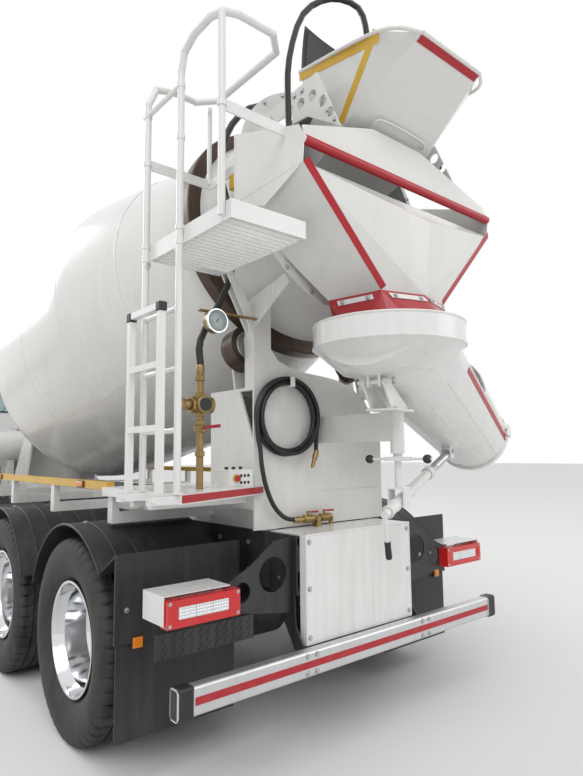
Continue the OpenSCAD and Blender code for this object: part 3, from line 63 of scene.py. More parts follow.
Array = np.ndarray
Triple = tuple[float, float, float]
Link = tuple[bpy.types.Node, str | int, bpy.types.Node, str | int]

POST_X = -3.945
AXLES: tuple[float, ...] = (2.975, 1.025, -1.305, -2.675)
TYRE_R = 0.525
HEADING = -73.4
ORIGIN = (0.0, 0.0, 0.0)
AHEAD, BACK = (1.0, 0.0, 0.0), (-1.0, 0.0, 0.0)
LEFT, RIGHT = (0.0, 1.0, 0.0), (0.0, -1.0, 0.0)
UP, DOWN = (0.0, 0.0, 1.0), (0.0, 0.0, -1.0)
MIRROR = (1.0, -1.0, 1.0)


class Slot(str, Enum):
    """Names of the record's material slots."""

    BODY = "body_paint"
    WHITE = "white_paint"
    CAB = "cab_paint"
    BLACK = "black_paint"
    PLASTIC = "black_plastic"
    YELLOW = "yellow_paint"
    RED = "red_paint"
    LAMP_RED = "lamp_red"
    CAST = "cast_metal"
    TANK = "tank_metal"
    BRASS = "brass"
    HOSE = "hose_rubber"
    GLASS = "glass"
    LAMP_CLEAR = "lamp_clear"
    ZINC = "zinc"
    WHEEL = "wheel"


class Grain(Enum):
    """Kinds of fine relief on a surface: how the noise is stretched along X, Y and Z."""

    PEEL = (1.0, 1.0, 1.0)
    BRUSHED_X = (0.03, 1.0, 1.0)
    CAST = (0.6, 0.6, 0.6)
    RUBBER = (1.5, 1.5, 1.5)


def socket(tree: bpy.types.NodeTree, name: str, kind: str, way: str, value: object = None) -> None:
    """Adds one socket to a node group.

    Args:
        tree: The group.
        name: The socket's name.
        kind: Float, Vector or Color.
        way: INPUT or OUTPUT.
        value: The value when nothing is linked.
    """
    made = tree.interface.new_socket(name=name, in_out=way, socket_type="NodeSocket" + kind)
    if value is not None:
        made.default_value = value


def node(tree: bpy.types.NodeTree, kind: str, values: dict[str | int, object] | None = None,
         **settings: object) -> bpy.types.Node:
    """Adds one node.

    Args:
        tree: Where it goes.
        kind: Its type's name after ShaderNode.
        values: Values of its inputs, by name or number.
        **settings: Attributes of the node itself.

    Returns:
        The node.
    """
    made = tree.nodes.new("ShaderNode" + kind)
    for key, value in settings.items():
        setattr(made, key, value)
    for key, value in (values or {}).items():
        made.inputs[key].default_value = value
    return made


def link(tree: bpy.types.NodeTree, *ends: Link) -> None:
    """Links outputs to inputs, each row from a node and its output to a node and its input."""
    for start, output, end, entry in ends:
        tree.links.new(start.outputs[output], end.inputs[entry])


class Effects:
    """Shader node groups that several finishes share, each built once."""

    made: ClassVar[dict[str, bpy.types.NodeTree]] = {}

    @classmethod
    def soiling(cls) -> bpy.types.NodeTree:
        """Road dust: blotches and vertical streaks that thicken towards the ground.

        The mask is (blotch noise + streak noise) raised to a contrast, times a height term that falls from 1
        at the ground to 0.25 at four metres, times the given amount.

        Returns:
            The group, with Colour and Mask as outputs.
        """
        if "soiling" in cls.made:
            return cls.made["soiling"]
        tree = bpy.data.node_groups.new("road_soiling", "ShaderNodeTree")
        socket(tree, "Position", "Vector", "INPUT")
        socket(tree, "Colour", "Color", "INPUT", (0.8, 0.8, 0.8, 1.0))
        socket(tree, "Soil", "Color", "INPUT", (0.25, 0.22, 0.19, 1.0))
        socket(tree, "Amount", "Float", "INPUT", 0.3)
        socket(tree, "Scale", "Float", "INPUT", 2.5)
        socket(tree, "Colour", "Color", "OUTPUT")
        socket(tree, "Mask", "Float", "OUTPUT")
        entry, leave = tree.nodes.new("NodeGroupInput"), tree.nodes.new("NodeGroupOutput")
        blotch = node(tree, "TexNoise", {"Detail": 7.0, "Roughness": 0.62})
        stretch = node(tree, "VectorMath", {1: (9.0, 9.0, 0.7)}, operation="MULTIPLY")
        streak = node(tree, "TexNoise", {"Scale": 2.2, "Detail": 4.0})
        total = node(tree, "Math", operation="ADD")
        ramp = node(tree, "MapRange", {"From Min": 0.86, "From Max": 1.38})
        split = node(tree, "SeparateXYZ")
        height = node(tree, "MapRange", {"From Min": 0.2, "From Max": 3.6, "To Min": 1.0, "To Max": 0.22})
        by_height = node(tree, "Math", operation="MULTIPLY")
        by_amount = node(tree, "Math", operation="MULTIPLY", use_clamp=True)
        mix = node(tree, "Mix", data_type="RGBA")
        link(tree, (entry, "Position", blotch, "Vector"), (entry, "Scale", blotch, "Scale"),
             (entry, "Position", stretch, 0), (stretch, 0, streak, "Vector"), (blotch, "Fac", total, 0),
             (streak, "Fac", total, 1), (total, 0, ramp, "Value"), (entry, "Position", split, 0),
             (split, "Z", height, "Value"), (ramp, 0, by_height, 0), (height, 0, by_height, 1),
             (by_height, 0, by_amount, 0), (entry, "Amount", by_amount, 1), (by_amount, 0, mix, "Factor"),
             (entry, "Colour", mix, "A"), (entry, "Soil", mix, "B"), (mix, "Result", leave, "Colour"),
             (by_amount, 0, leave, "Mask"))
        cls.made["soiling"] = tree
        return tree

    @classmethod
    def grain(cls) -> bpy.types.NodeTree:
        """Fine relief: two octaves of noise read at stretched coordinates.

        Returns:
            The group, with Height as its output.
        """
        if "grain" in cls.made:
            return cls.made["grain"]
        tree = bpy.data.node_groups.new("fine_grain", "ShaderNodeTree")
        socket(tree, "Position", "Vector", "INPUT")
        socket(tree, "Stretch", "Vector", "INPUT", (1.0, 1.0, 1.0))
        socket(tree, "Scale", "Float", "INPUT", 200.0)
        socket(tree, "Height", "Float", "OUTPUT")
        entry, leave = tree.nodes.new("NodeGroupInput"), tree.nodes.new("NodeGroupOutput")
        stretch = node(tree, "VectorMath", operation="MULTIPLY")
        fine = node(tree, "TexNoise", {"Detail": 3.0})
        coarse = node(tree, "TexNoise", {"Scale": 9.0, "Detail": 2.0})
        total = node(tree, "Math", {1: 2.5}, operation="MULTIPLY_ADD")
        link(tree, (entry, "Position", stretch, 0), (entry, "Stretch", stretch, 1),
             (stretch, 0, fine, "Vector"), (entry, "Scale", fine, "Scale"),
             (entry, "Position", coarse, "Vector"), (coarse, "Fac", total, 0), (fine, "Fac", total, 2),
             (total, 0, leave, "Height"))
        cls.made["grain"] = tree
        return tree


@dataclass(frozen=True)
class Finish:
    """A surface finish: colour, gloss, dirt and fine relief."""

    name: str
    slot: Slot
    colour: Triple
    roughness: float = 0.35
    metallic: float = 0.0
    coat: float = 0.0
    soil: Triple = (0.30, 0.27, 0.23)
    soiled: float = 0.35
    soil_scale: float = 2.4
    grain: Grain = Grain.PEEL
    grain_scale: float = 260.0
    relief: float = 0.05
    relief_mm: float = 0.4
    clear: float = 0.0
    glow: float = 0.0

    def material(self) -> bpy.types.Material:
        """The finish as a node material, made on first use.

        Returns:
            The material.
        """
        known = bpy.data.materials.get(self.name)
        if known is not None:
            return known
        made = bpy.data.materials.new(self.name)
        made.use_nodes = True
        tree = made.node_tree
        shader = tree.nodes["Principled BSDF"]
        place = node(tree, "TexCoord")
        dirt = node(tree, "Group", {"Colour": (*self.colour, 1.0), "Soil": (*self.soil, 1.0),
                                    "Amount": self.soiled, "Scale": self.soil_scale},
                    node_tree=Effects.soiling())
        rough = node(tree, "MapRange", {"To Min": self.roughness, "To Max": min(0.95, self.roughness + 0.45)})
        relief = node(tree, "Group", {"Stretch": self.grain.value, "Scale": self.grain_scale},
                      node_tree=Effects.grain())
        bump = node(tree, "Bump", {"Strength": self.relief, "Distance": self.relief_mm / 1000.0})
        link(tree, (place, "Object", dirt, "Position"), (place, "Object", relief, "Position"),
             (dirt, "Colour", shader, "Base Color"), (dirt, "Mask", rough, "Value"),
             (rough, 0, shader, "Roughness"), (relief, "Height", bump, "Height"),
             (bump, "Normal", shader, "Normal"))
        values = {"Metallic": self.metallic, "Coat Weight": self.coat, "Coat Roughness": 0.08}
        if self.clear > 0.0:
            values |= {"Transmission Weight": self.clear, "IOR": 1.45}
        if self.glow > 0.0:
            values |= {"Emission Color": (*self.colour, 1.0), "Emission Strength": self.glow}
        for key, value in values.items():
            shader.inputs[key].default_value = value
        return made


class Finishes:
    """The truck's finishes."""

    BODY = Finish("drum_white", Slot.BODY, (0.80, 0.80, 0.78), 0.24, coat=0.35, soiled=0.22, relief=0.04)
    WHITE = Finish("superstructure_white", Slot.WHITE, (0.83, 0.83, 0.82), 0.27, coat=0.3, soiled=0.24,
                   relief=0.05)
    CAB = Finish("cab_white", Slot.CAB, (0.86, 0.86, 0.86), 0.18, coat=0.6, soiled=0.16, relief=0.02)
    BLACK = Finish("chassis_black", Slot.BLACK, (0.018, 0.019, 0.021), 0.42, soil=(0.11, 0.10, 0.09),
                   soiled=0.45, relief=0.12)
    PLASTIC = Finish("moulded_black", Slot.PLASTIC, (0.016, 0.016, 0.018), 0.46, soil=(0.10, 0.095, 0.085),
                     soiled=0.4, grain_scale=520.0, relief=0.2)
    TRIM = Finish("cab_trim", Slot.PLASTIC, (0.055, 0.057, 0.062), 0.6, soiled=0.1, grain_scale=650.0,
                  relief=0.25)
    SEAT = Finish("seat_cloth", Slot.PLASTIC, (0.045, 0.05, 0.065), 0.85, soiled=0.08, grain_scale=900.0,
                  relief=0.5)
    YELLOW = Finish("strip_yellow", Slot.YELLOW, (0.70, 0.42, 0.02), 0.35, coat=0.2, soiled=0.35)
    RED = Finish("signal_red", Slot.RED, (0.42, 0.010, 0.018), 0.3, coat=0.25, soiled=0.15)
    TAPE_RED = Finish("red_tape", Slot.RED, (0.44, 0.010, 0.020), 0.38, soiled=0.12, grain_scale=420.0,
                      relief=0.12)
    LENS_RED = Finish("lens_red", Slot.LAMP_RED, (0.55, 0.008, 0.012), 0.08, coat=0.5, soiled=0.1, glow=0.12)
    LENS_AMBER = Finish("lens_amber", Slot.LAMP_RED, (0.75, 0.22, 0.01), 0.1, coat=0.5, soiled=0.1, glow=0.08)
    LENS_CLEAR = Finish("lens_clear", Slot.LAMP_CLEAR, (0.78, 0.80, 0.82), 0.06, coat=0.6, soiled=0.08,
                        metallic=0.2)
    CAST = Finish("cast_iron", Slot.CAST, (0.12, 0.12, 0.125), 0.55, metallic=0.6, soiled=0.4,
                  grain=Grain.CAST, grain_scale=140.0, relief=0.35, relief_mm=0.8)
    TRACK = Finish("greased_track", Slot.CAST, (0.06, 0.035, 0.022), 0.32, metallic=0.5, soiled=0.3,
                   relief=0.2)
    TANK = Finish("brushed_tank", Slot.TANK, (0.62, 0.63, 0.65), 0.32, metallic=0.9, soiled=0.2,
                  grain=Grain.BRUSHED_X, grain_scale=500.0, relief=0.15)
    ALU = Finish("underrun_aluminium", Slot.TANK, (0.66, 0.67, 0.68), 0.34, metallic=0.75, soiled=0.2,
                 grain_scale=420.0, relief=0.12)
    CHROME = Finish("polished_rim", Slot.ZINC, (0.72, 0.73, 0.75), 0.1, metallic=1.0, soiled=0.14,
                    relief=0.02)
    BRASS = Finish("meter_brass", Slot.BRASS, (0.36, 0.25, 0.11), 0.36, metallic=0.9, soil=(0.12, 0.09, 0.05),
                   soiled=0.5, soil_scale=14.0, grain=Grain.CAST, grain_scale=260.0, relief=0.3,
                   relief_mm=0.5)
    HOSE = Finish("hose_black", Slot.HOSE, (0.012, 0.012, 0.013), 0.4, soil=(0.09, 0.085, 0.08), soiled=0.3,
                  grain=Grain.RUBBER, grain_scale=300.0, relief=0.2)
    TYRE = Finish("tyre_rubber", Slot.WHEEL, (0.014, 0.014, 0.015), 0.62, soil=(0.10, 0.09, 0.08), soiled=0.7,
                  soil_scale=5.0, grain=Grain.RUBBER, grain_scale=380.0, relief=0.3)
    GLASS = Finish("window_glass", Slot.GLASS, (0.62, 0.72, 0.74), 0.03, soiled=0.04, relief=0.0, clear=0.92)
    MIRROR = Finish("mirror_glass", Slot.GLASS, (0.75, 0.77, 0.78), 0.03, metallic=1.0, soiled=0.05,
                    relief=0.0)
    LENS_SMOKE = Finish("smoked_visor", Slot.PLASTIC, (0.03, 0.035, 0.04), 0.08, coat=0.4, soiled=0.1,
                        clear=0.3)
    ZINC = Finish("zinc_rod", Slot.ZINC, (0.55, 0.56, 0.57), 0.28, metallic=0.9, soiled=0.25, relief=0.1)
    BOLT = Finish("zinc_bolt", Slot.ZINC, (0.50, 0.50, 0.50), 0.34, metallic=0.85, soiled=0.3,
                  soil_scale=12.0)
    DIAL = Finish("dial_white", Slot.WHITE, (0.85, 0.85, 0.83), 0.25, soiled=0.05)
    INK = Finish("dial_ink", Slot.PLASTIC, (0.02, 0.02, 0.02), 0.4, soiled=0.05)


CAD_FINISHES: dict[Slot, Finish] = {finish.slot: finish for finish in (
    Finishes.BODY, Finishes.WHITE, Finishes.CAB, Finishes.BLACK, Finishes.PLASTIC, Finishes.YELLOW,
    Finishes.RED, Finishes.LENS_RED, Finishes.CAST, Finishes.TANK, Finishes.BRASS, Finishes.HOSE,
    Finishes.GLASS, Finishes.LENS_CLEAR, Finishes.ZINC,
)} | {Slot.WHEEL: Finishes.CHROME}
NODE_FINISHES: dict[str, Finish] = {
    "underrun_bar": Finishes.ALU,
    "cab_interior": Finishes.TRIM,
    "roller_left": Finishes.TRACK,
    "roller_right": Finishes.TRACK,
}


def unit(v: Array) -> Array:
    """Vectors of length one along the last axis."""
    return v / np.maximum(np.linalg.norm(v, axis=-1, keepdims=True), 1e-12)


def basis(axis: Sequence[float]) -> Array:
    """Three square directions as rows, the last along the axis.

    Args:
        axis: Any direction.

    Returns:
        A 3 by 3 array of unit rows.
    """
    w = unit(np.asarray(axis, float))
    helper = np.array(UP) if abs(w[2]) < 0.9 else np.array(AHEAD)
    u = unit(np.cross(helper, w))
    return np.array((u, np.cross(w, u), w))


def smooth(points: Sequence[Sequence[float]], per_span: int) -> Array:
    """A Catmull-Rom curve through the points: each span is a cubic of its four nearest points.

    Args:
        points: Points the curve passes through.
        per_span: Samples on each span.

    Returns:
        Points along the curve, one a row.
    """
    p = np.asarray(points, float)
    q = np.vstack((p[:1], p, p[-1:]))
    t = (np.arange(per_span) / per_span)[None, :, None]
    a, b, c, d = (q[k : len(p) - 1 + k][:, None, :] for k in range(4))
    curve = 0.5 * (2 * b + (c - a) * t + (2 * a - 5 * b + 4 * c - d) * t**2 + (3 * b - a - 3 * c + d) * t**3)
    return np.vstack((curve.reshape(-1, p.shape[1]), p[-1:]))


def around(number: int) -> Array:
    """Angles evenly round a full turn."""
    return np.arange(number) * math.tau / number


def circle(at: float | Array, radius: float | Array, angles: Array) -> Array:
    """Points round the X axis, at a distance along it, with angles from +Y towards +Z."""
    return np.stack((at + 0 * angles, radius * np.cos(angles), radius * np.sin(angles)), -1)


def squared(values: Array, power: float) -> Array:
    """Sine or cosine values drawn towards -1 and 1, which turns a circle into a rounded square."""
    return np.sign(values) * np.abs(values) ** power


@dataclass(frozen=True)
class Place:
    """A local frame: turned down about Y and shifted, then turned about Z and moved to its origin."""

    origin: Triple = ORIGIN
    yaw: float = 0.0
    fall: float = 0.0
    lift: Triple = ORIGIN

    def at(self, points: Array) -> Array:
        """Points of the frame as points of the truck."""
        c, s = math.cos(math.radians(self.fall)), math.sin(math.radians(self.fall))
        cy, sy = math.cos(math.radians(self.yaw)), math.sin(math.radians(self.yaw))
        tipped = np.asarray(points, float) @ np.array(((c, 0.0, -s), LEFT, (s, 0.0, c)))
        turned = (tipped + self.lift) @ np.array(((cy, sy, 0.0), (-sy, cy, 0.0), UP))
        return turned + self.origin


TRUCK = Place()
DRUM = Place((-3.875, 0.0, 3.012), fall=10.5)
TILT = math.radians(DRUM.fall)
SWIVEL = Place((POST_X, 0.0, 0.0), HEADING)
CHUTE = Place((POST_X, 0.0, 0.0), HEADING, 20.8, (0.0, 0.0, 2.110))
JACK = Place((POST_X, 0.0, 0.0), HEADING, -16.567, (0.0, 0.0, 1.245))


class Form:
    """Vertices and faces gathered for one piece, as whole arrays."""

    def __init__(self, place: Place = TRUCK) -> None:
        """Starts empty.

        Args:
            place: Frame in which the points are given.
        """
        self.place = place
        self.points: list[Array] = []
        self.faces: list[Array] = []
        self.count = 0

    def add(self, points: Array, *faces: Array) -> "Form":
        """Adds points with faces that index them.

        Args:
            points: One vertex a row.
            *faces: Arrays of faces, each array with one number of corners.

        Returns:
            The form itself.
        """
        flat = self.place.at(np.asarray(points, float).reshape(-1, 3))
        self.points.append(flat)
        self.faces.extend(np.asarray(f, int) + self.count for f in faces if len(f))
        self.count += len(flat)
        return self

    def grid(self, points: Array, close_u: bool = False, close_v: bool = False, flip: bool = False) -> "Form":
        """A surface of two parameters: quads between neighbours of a grid of points.

        Args:
            points: Array of shape (u, v, 3).
            close_u: Joins the last row to the first.
            close_v: Joins the last column to the first.
            flip: Turns the faces round.

        Returns:
            The form itself.
        """
        rows, cols = points.shape[:2]
        i = np.arange(rows if close_u else rows - 1)[:, None]
        j = np.arange(cols if close_v else cols - 1)[None, :]
        a, b = i * cols + j, ((i + 1) % rows) * cols + j
        c, d = ((i + 1) % rows) * cols + (j + 1) % cols, i * cols + (j + 1) % cols
        quads = np.stack((a, b, c, d), -1).reshape(-1, 4)
        return self.add(points, quads[:, ::-1] if flip else quads)

    def turned(self, profile: Sequence[Sequence[float]], origin: Sequence[float], axis: Sequence[float],
               steps: int = 32, shut: bool = False) -> "Form":
        """A turned surface: each profile point (along, radius) swept round the axis.

        Args:
            profile: Pairs of distance along the axis and radius.
            origin: Where distance 0 lies.
            axis: Direction of the axis.
            steps: Number of steps round.
            shut: Joins the profile's end to its start.

        Returns:
            The form itself.
        """
        u, v, w = basis(axis)
        a = np.linspace(0.0, 2 * math.pi, steps, endpoint=False)[:, None, None]
        p = np.asarray(profile, float)
        first, last = bool(p[0, 1] == 0.0), bool(p[-1, 1] == 0.0)
        p = p[int(first) : len(p) - int(last)]
        ring = p[None, :, 1:2] * (np.cos(a) * u + np.sin(a) * v) + p[None, :, 0:1] * w
        start, k = self.count, np.arange(steps) * len(p)
        self.grid(ring + np.asarray(origin, float), close_u=True, close_v=shut)
        if first:
            self.faces.append(start + k[None, ::-1])
        if last:
            self.faces.append(start + k[None, :] + len(p) - 1)
        return self

    def tube(self, path: Array, radius: float | Array, sides: int = 10, up: Sequence[float] | None = None,
             caps: bool = True) -> "Form":
        """A round tube along a path, its rings squared to the path against one reference direction.

        Args:
            path: Points on the centre line.
            radius: One radius, or one for each point.
            sides: Corners of each ring.
            up: Reference direction, by default the one in which the path spreads least.
            caps: Closes both ends.

        Returns:
            The form itself.
        """
        path = np.asarray(path, float)
        t = unit(np.gradient(path, axis=0))
        if up is None:
            spread = np.linalg.svd(t.T @ t + 1e-9 * np.eye(3))[0]
            up = spread[:, 2]
        n = unit(np.cross(t, np.asarray(up, float)))
        b = np.cross(t, n)
        a = np.linspace(0.0, 2 * math.pi, sides, endpoint=False)[None, :, None]
        r = np.broadcast_to(np.asarray(radius, float).reshape(-1, 1, 1), (len(path), 1, 1))
        rings = path[:, None, :] + r * (np.cos(a) * n[:, None, :] + np.sin(a) * b[:, None, :])
        start = self.count
        self.grid(rings, close_v=True, flip=True)
        if caps:
            ends = np.arange(sides)
            self.faces.append((start + ends[::-1])[None, :])
            self.faces.append((start + (len(path) - 1) * sides + ends)[None, :])
        return self

    def box(self, low: Sequence[float], high: Sequence[float]) -> "Form":
        """A box between two corners, for a later bevel."""
        lo, hi = np.asarray(low, float), np.asarray(high, float)
        bits = np.array([[i & 1, i >> 1 & 1, i >> 2 & 1] for i in range(8)])
        quads = [[0, 2, 3, 1], [4, 5, 7, 6], [0, 1, 5, 4], [2, 6, 7, 3], [0, 4, 6, 2], [1, 3, 7, 5]]
        return self.add(lo + bits * (hi - lo), np.array(quads))

    def prism(self, outline: Array, along: Sequence[float]) -> "Form":
        """A flat outline of points made solid along a direction.

        Args:
            outline: Corners in order, anticlockwise seen against the direction.
            along: The thickness as a vector.

        Returns:
            The form itself.
        """
        base = np.asarray(outline, float)
        n = len(base)
        k = np.arange(n)
        sides = np.stack((k, (k + 1) % n, n + (k + 1) % n, n + k), -1)
        return self.add(np.vstack((base, base + np.asarray(along, float))), k[None, ::-1], n + k[None, :],
                        sides)

    def ribbon(self, path: Sequence[Sequence[float]], width: Sequence[float], out: Sequence[float],
               across: int = 2) -> "Form":
        """A flat strip along a path, lifted off its base by a thickness.

        Args:
            path: Points along one edge.
            width: Vector from that edge to the other.
            out: Vector from the base to the strip's face.
            across: Points across the strip.

        Returns:
            The form itself.
        """
        p = np.asarray(path, float)[:, None, :]
        w = np.linspace(0.0, 1.0, across)[None, :, None] * np.asarray(width, float)
        lift = np.asarray(out, float)
        edge = np.concatenate((p + w[:, :1], p + w + lift, p + w[:, -1:]), axis=1)
        way = np.cross(np.asarray(path[1], float) - np.asarray(path[0], float), np.asarray(width, float))
        return self.grid(edge, close_v=True, flip=bool(way @ lift < 0))

    def stamp(self, pattern: "Form", centres: Array, normal: Sequence[float],
              up: Sequence[float] | None = None) -> "Form":
        """Copies of a small pattern, its Z turned to each normal.

        Args:
            pattern: The form to copy, drawn round the origin.
            centres: Points, one a row.
            normal: Direction out of the surface, one or one a point.
            up: Direction that the pattern's Y follows, if it matters.

        Returns:
            The form itself.
        """
        centres = np.asarray(centres, float).reshape(-1, 3)
        w = np.broadcast_to(unit(np.asarray(normal, float)), centres.shape)
        if up is None:
            up = UP if abs(w[0, 2]) < 0.9 else LEFT
        u = unit(np.cross(np.broadcast_to(np.asarray(up, float), w.shape), w))
        axes = np.stack((u, np.cross(w, u), w), 1)
        flat = np.vstack(pattern.points)
        points = centres[:, None] + np.einsum("pk,nkj->npj", flat, axes)
        shifts = (np.arange(len(centres)) * len(flat))[:, None, None]
        return self.add(points, *[(f[None] + shifts).reshape(-1, f.shape[1]) for f in pattern.faces])

    def bolts(self, centres: Array, normal: Sequence[float], size: float = 0.012, height: float = 0.008,
              washer: bool = True) -> "Form":
        """Hexagon heads, each on a washer, at a list of points.

        Args:
            centres: Points on the surface, one a row.
            normal: Direction out of the surface, one or one a point.
            size: Half the width across corners.
            height: Height of a head.
            washer: Puts a round washer under each head.

        Returns:
            The form itself.
        """
        head = Form().turned([(0.0, size), (height * 0.85, size), (height, size * 0.86), (height, 0.0)],
                             ORIGIN, UP, 6)
        if washer:
            head.turned([(0.0, size * 1.45), (height * 0.2, size * 1.45), (height * 0.2, size * 0.9)],
                        ORIGIN, UP, 12)
        return self.stamp(head, centres, normal)

    def flipped(self) -> "Form":
        """Moves everything to the truck's other side."""
        self.points = [p * MIRROR for p in self.points]
        self.faces = [f[:, ::-1] for f in self.faces]
        return self

    def mirrored(self) -> "Form":
        """Adds a copy of everything on the truck's other side."""
        flat = np.vstack(self.points) * MIRROR
        copies = [f[:, ::-1] + self.count for f in self.faces]
        self.points.append(flat)
        self.faces.extend(copies)
        self.count *= 2
        return self

    def build(self, name: str, finish: Finish, body: str = "chassis", slot: Slot | None = None,
              bevel: float = 0.0, angle: float = 32.0, merge: bool = False,
              segments: int = 2) -> bpy.types.Object:
        """Makes the object, dresses it and lets it ride.

        Args:
            name: Name of the piece.
            finish: Its finish.
            body: CAD body that it rides on.
            slot: Not used.
            bevel: Width of a bevel on its sharp edges.
            angle: Edges sharper than this stay sharp.
            merge: Merges doubled vertices and turns the faces outwards.
            segments: Segments of the bevel.

        Returns:
            The object.
        """
        mesh = bpy.data.meshes.new(name)
        points = np.vstack(self.points)
        sizes = np.concatenate([np.full(len(f), f.shape[1]) for f in self.faces])
        corners = np.concatenate([f.ravel() for f in self.faces])
        mesh.vertices.add(len(points))
        mesh.vertices.foreach_set("co", points.astype(np.float32).ravel())
        mesh.loops.add(len(corners))
        mesh.loops.foreach_set("vertex_index", corners.astype(np.int32))
        mesh.polygons.add(len(sizes))
        mesh.polygons.foreach_set("loop_start", np.concatenate(([0], np.cumsum(sizes)[:-1])).astype(np.int32))
        mesh.update(calc_edges=True)
        mesh.validate()
        if merge:
            work = bmesh.new()
            work.from_mesh(mesh)
            bmesh.ops.remove_doubles(work, verts=work.verts, dist=1e-5)
            bmesh.ops.recalc_face_normals(work, faces=work.faces)
            work.to_mesh(mesh)
            work.free()
        mesh.polygons.foreach_set("use_smooth", np.ones(len(mesh.polygons), bool))
        mesh.set_sharp_from_angle(angle=math.radians(angle))
        mesh.materials.append(finish.material())
        made = bpy.data.objects.new(name, mesh)
        bpy.context.scene.collection.objects.link(made)
        if bevel > 0.0:
            soft = made.modifiers.new("edges", "BEVEL")
            soft.width = bevel
            soft.segments = segments
            soft.limit_method = "ANGLE"
            soft.harden_normals = True
        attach(made, body)
        log.info("%s on %s: %d vertices", name, body, len(mesh.vertices))
        return made


@dataclass
class Studio:
    """Camera at the photograph's viewpoint, plain floor and soft light."""

    eye: Triple = (-5.9287, 2.3969, 1.5031)
    yaw: float = -40.2217
    pitch: float = 6.2681
    roll: float = -0.6124
    focal_px: float = 584.43
    frame_px: tuple[int, int] = (583, 776)
    sensor_mm: float = 36.0
    sky: float = 0.45
    aim: Triple = (-1.0, 0.0, 1.5)
    floor_half: float = 60.0
    floor_colour: Triple = (0.86, 0.86, 0.85)

    def camera(self) -> None:
        """Places the camera: forward from yaw and pitch, its right and up turned by the roll."""
        yaw, pitch, roll = (math.radians(a) for a in (self.yaw, self.pitch, self.roll))
        ahead = np.array((math.cos(pitch) * math.cos(yaw), math.cos(pitch) * math.sin(yaw), math.sin(pitch)))
        right = np.array((math.sin(yaw), -math.cos(yaw), 0.0))
        above = np.cross(right, ahead)
        side = math.cos(roll) * right + math.sin(roll) * above
        top = -math.sin(roll) * right + math.cos(roll) * above
        data = bpy.data.cameras.new("camera")
        data.sensor_fit = "AUTO"
        data.sensor_width = self.sensor_mm
        data.lens = self.sensor_mm * self.focal_px / max(self.frame_px)
        data.clip_start, data.clip_end = 0.05, 200.0
        made = bpy.data.objects.new("camera", data)
        turn = Matrix(np.column_stack((side, top, -ahead)).tolist())
        made.matrix_world = Matrix.Translation(self.eye) @ turn.to_4x4()
        bpy.context.scene.collection.objects.link(made)
        bpy.context.scene.camera = made
        bpy.context.scene.view_settings.view_transform = "Standard"

    def floor(self) -> None:
        """A pale floor that shows its own tone to the camera and keeps the shadow."""
        line = np.linspace(-self.floor_half, self.floor_half, 3)
        form = Form().grid(np.stack(np.meshgrid(line, line, [0.0], indexing="ij"), -1)[:, :, 0])
        mesh = bpy.data.meshes.new("floor")
        mesh.from_pydata(np.vstack(form.points).tolist(), [], form.faces[0].tolist())
        paint = bpy.data.materials.new("floor_paint")
        paint.use_nodes = True
        shader = paint.node_tree.nodes["Principled BSDF"]
        shader.inputs["Base Color"].default_value = (*self.floor_colour, 1.0)
        shader.inputs["Roughness"].default_value = 0.85
        mesh.materials.append(paint)
        made = bpy.data.objects.new("floor", mesh)
        bpy.context.scene.collection.objects.link(made)

    def light(self) -> None:
        """A white sky, one broad soft sun as the key and two large fills."""
        world = bpy.data.worlds.new("studio")
        bpy.context.scene.world = world
        world.use_nodes = True
        tree = world.node_tree
        back = tree.nodes["Background"]
        path = node(tree, "LightPath")
        seen = node(tree, "Math", operation="MAXIMUM")
        glass = node(tree, "Math", operation="MAXIMUM")
        strength = node(tree, "MapRange", {"To Min": self.sky, "To Max": 1.0})
        link(tree, (path, "Is Camera Ray", seen, 0), (path, "Is Glossy Ray", seen, 1), (seen, 0, glass, 0),
             (path, "Is Transmission Ray", glass, 1), (glass, 0, strength, "Value"),
             (strength, 0, back, "Strength"))
        back.inputs["Color"].default_value = (1.0, 1.0, 1.0, 1.0)
        for name, kind, place, size, power in (
            ("key", "SUN", (-9.0, 8.0, 14.0), math.radians(50.0), 1.35),
            ("fill", "AREA", (-12.0, -8.0, 6.0), 8.0, 260.0),
            ("front_fill", "AREA", (12.0, 4.0, 9.0), 8.0, 700.0),
        ):
            data = bpy.data.lights.new(name, kind)
            data.energy = power
            if kind == "SUN":
                data.angle = size
            else:
                data.shape, data.size = "DISK", size
            made = bpy.data.objects.new(name, data)
            made.location = place
            made.rotation_euler = (Vector(self.aim) - Vector(place)).to_track_quat("-Z", "Y").to_euler()
            bpy.context.scene.collection.objects.link(made)


